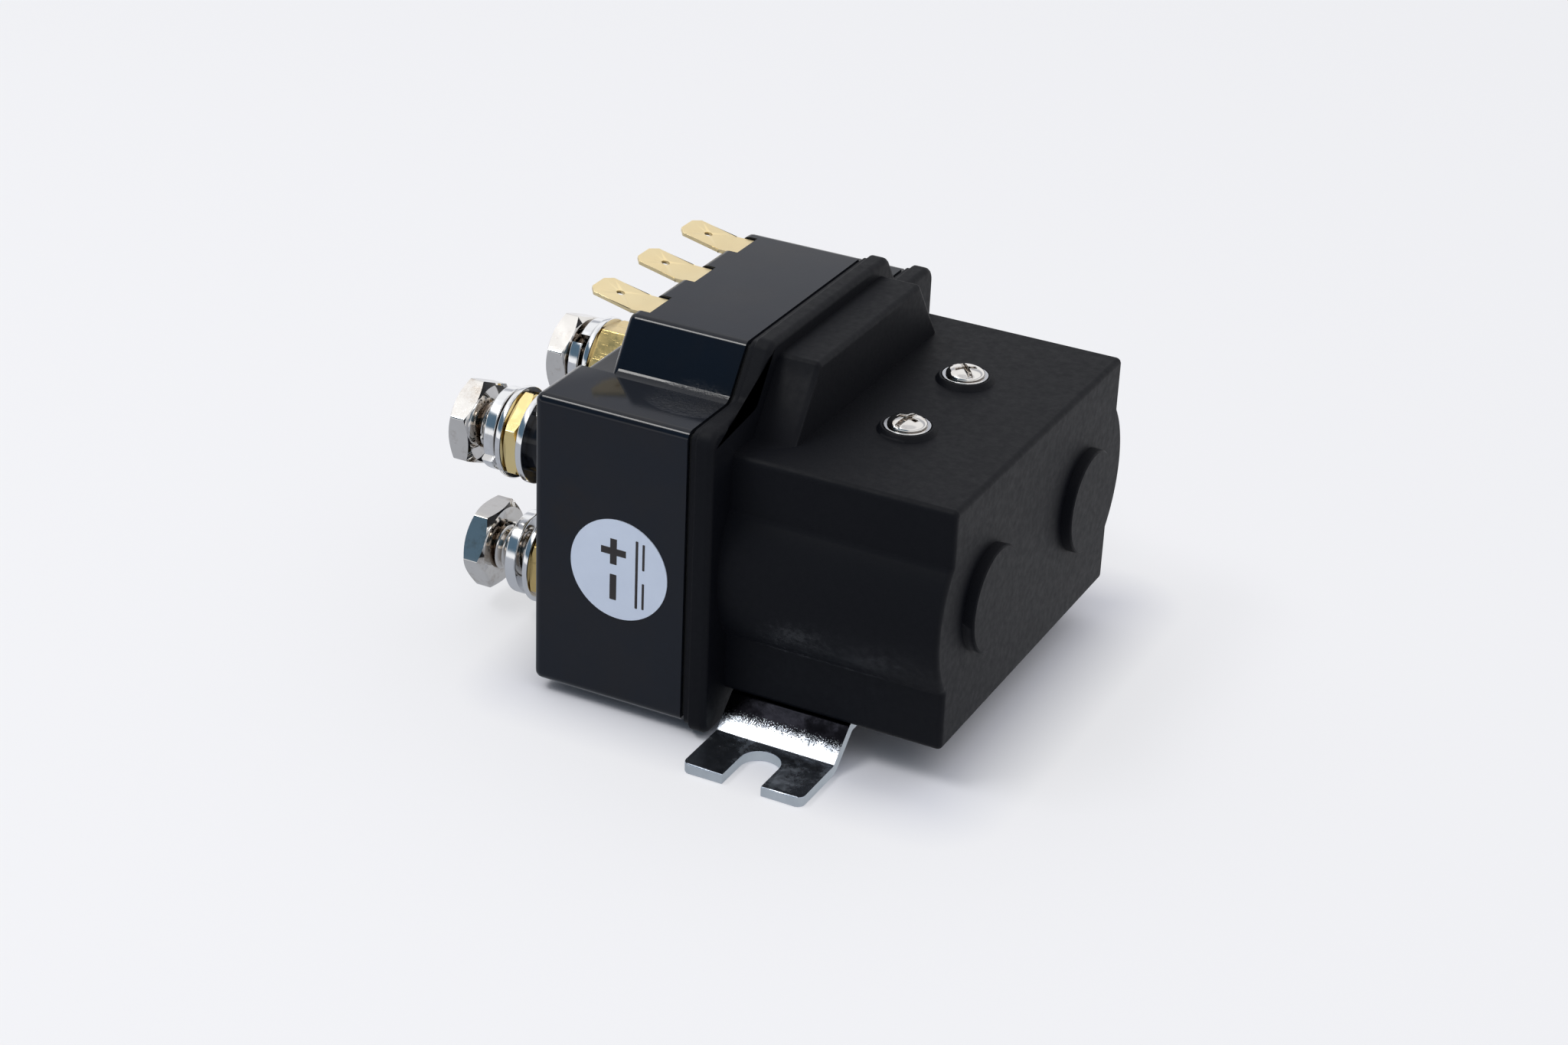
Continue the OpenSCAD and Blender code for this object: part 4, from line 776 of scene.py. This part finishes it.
def build_floor():
    """Paper that glows a little beyond the object, and that gloss sees grey in front and pale behind."""
    bm = bmesh.new()
    bmesh.ops.create_grid(bm, x_segments=8, y_segments=8, size=3.0)
    floor = from_bmesh(bm, "floor")
    floor.location.z = -FLOOR_DROP
    t = Tree("floor_paper")
    t.colour(t.mix(t.noise(3.0, 2), (0.870, 0.875, 0.930), (0.885, 0.890, 0.945)))
    t.roughness(t.band(t.noise(40), 0.2, 0.8, 0.75, 0.85))
    t.shader.inputs["Specular IOR Level"].default_value = 0.25
    path = t.node("LightPath")
    open_rays = t.math("MAXIMUM", path.outputs["Is Camera Ray"], path.outputs["Is Transmission Ray"])
    beyond = t.math("MULTIPLY", open_rays, t.band(distance_from_foot(t), 0.0, 0.013))
    surface = seen_glow(t, t.shader.outputs[0], beyond, 0.66, (0.91, 0.912, 0.922))
    along = t.node("VectorMath", operation="DOT_PRODUCT")
    along.inputs[1].default_value = BACKWARD
    t.link(t.place, along.inputs[0])
    behind = t.band(along.outputs["Value"], -0.05, 0.05)
    mirror_tone = t.mix(behind, (0.34, 0.36, 0.40), (0.88, 0.88, 0.90))
    surface = seen_glow(t, surface, path.outputs["Is Glossy Ray"], 0.85, mirror_tone)
    t.link(surface, t.output.inputs["Surface"])
    floor.data.materials.append(t.material)


def build_world():
    """An even pale surround with a blue-grey bank low in front, which the gloss shows as dark faces."""
    world = bpy.data.worlds.new("studio")
    scene.world = world
    world.use_nodes = True
    tree = world.node_tree
    tree.nodes.clear()

    def node(kind, **values):
        made = tree.nodes.new("ShaderNode" + kind)
        for key, value in values.items():
            setattr(made, key, value)
        return made

    def window(source, low, high):
        made = node("MapRange", interpolation_type="SMOOTHSTEP")
        made.inputs["From Min"].default_value = low
        made.inputs["From Max"].default_value = high
        tree.links.new(source, made.inputs["Value"])
        return made.outputs["Result"]

    def combine(operation, first, second):
        made = node("Math", operation=operation)
        for socket, value in zip(made.inputs, (first, second)):
            if isinstance(value, (int, float)):
                socket.default_value = value
            else:
                tree.links.new(value, socket)
        return made.outputs[0]

    direction = node("TexCoord").outputs["Generated"]
    parts = node("SeparateXYZ")
    tree.links.new(direction, parts.inputs[0])
    height = parts.outputs["Z"]
    toward = node("VectorMath", operation="DOT_PRODUCT")
    toward.inputs[1].default_value = FORWARD
    tree.links.new(direction, toward.inputs[0])
    bank = combine("MULTIPLY", window(height, 0.14, 0.32), window(height, 0.80, 0.70))
    bank = combine("MULTIPLY", bank, window(toward.outputs["Value"], 0.30, 0.62))
    wall = node("Mix", data_type="RGBA")
    wall.inputs[6].default_value = (0.50, 0.51, 0.55, 1)
    wall.inputs[7].default_value = (0.98, 0.98, 0.99, 1)
    dip = combine("MULTIPLY", window(height, 0.30, 0.42), window(height, 0.60, 0.50))
    dip = combine("MAXIMUM", dip, combine("MULTIPLY", window(height, 0.84, 0.93), 0.55))
    tree.links.new(combine("SUBTRACT", 1.0, dip), wall.inputs[0])
    mixed = node("Mix", data_type="RGBA")
    mixed.inputs[7].default_value = (0.09, 0.15, 0.21, 1)
    tree.links.new(wall.outputs[2], mixed.inputs[6])
    tree.links.new(bank, mixed.inputs[0])
    path = node("LightPath")
    seen = combine("MAXIMUM", path.outputs["Is Camera Ray"], path.outputs["Is Glossy Ray"])
    seen = combine("MAXIMUM", seen, path.outputs["Is Transmission Ray"])
    unseen = combine("SUBTRACT", 1.0, seen)
    rise = combine("MAXIMUM", height, 0.0)
    diffuse_level = combine("ADD", combine("MULTIPLY", rise, ZENITH_LEVEL - HORIZON_LEVEL), HORIZON_LEVEL)
    background = node("Background")
    tree.links.new(mixed.outputs[2], background.inputs["Color"])
    strength = combine("ADD", combine("MULTIPLY", unseen, diffuse_level), seen)
    tree.links.new(strength, background.inputs["Strength"])
    tree.links.new(background.outputs[0], node("OutputWorld").inputs["Surface"])


def add_lamp(name, place, size, power, colour):
    """A rectangular lamp that faces the object."""
    data = bpy.data.lights.new(name, "AREA")
    data.shape = "RECTANGLE"
    data.size, data.size_y = size
    data.energy = power
    data.color = colour
    lamp = bpy.data.objects.new(name, data)
    scene.collection.objects.link(lamp)
    lamp.location = place
    lamp.rotation_euler = (Vector(LAMP_AIM) - Vector(place)).to_track_quat("-Z", "Y").to_euler()


def build_camera():
    """The photograph's viewing angle: the place was worked out from the object's own edges."""
    azimuth, elevation, roll = math.radians(25.917), math.radians(27.229), math.radians(2.565)
    right_mm, up_mm, distance_mm = -11.5185, 12.642, 490.31
    back = Vector((math.sin(azimuth) * math.cos(elevation), -math.cos(azimuth) * math.cos(elevation),
                   math.sin(elevation)))
    right = Vector((math.cos(azimuth), math.sin(azimuth), 0))
    up = back.cross(right)
    rolled_right = right * math.cos(roll) + up * math.sin(roll)
    rolled_up = up * math.cos(roll) - right * math.sin(roll)
    target_mm = Vector((-4.25, 0, 8.505))
    place_mm = target_mm + rolled_right * right_mm + rolled_up * up_mm + back * distance_mm
    focal_px = 4023.7
    photo_width_px = 2048
    data = bpy.data.cameras.new("camera")
    data.sensor_width = 36
    data.lens = focal_px / photo_width_px * data.sensor_width
    data.clip_start = 0.01
    data.clip_end = 20
    camera = bpy.data.objects.new("camera", data)
    scene.collection.objects.link(camera)
    turn = Matrix((rolled_right, rolled_up, back)).transposed().to_4x4()
    camera.matrix_world = Matrix.Translation(place_mm * MM) @ turn
    scene.camera = camera


build_floor()
build_world()
add_lamp("overhead", (-0.31, -0.20, 0.72), (0.70, 0.38), 0.14, (1.0, 0.99, 0.98))
add_lamp("overhead_core", (-0.31, -0.285, 0.66), (0.30, 0.13), 1.3, (1.0, 0.99, 0.97))
build_camera()
scene.view_settings.view_transform = "Standard"
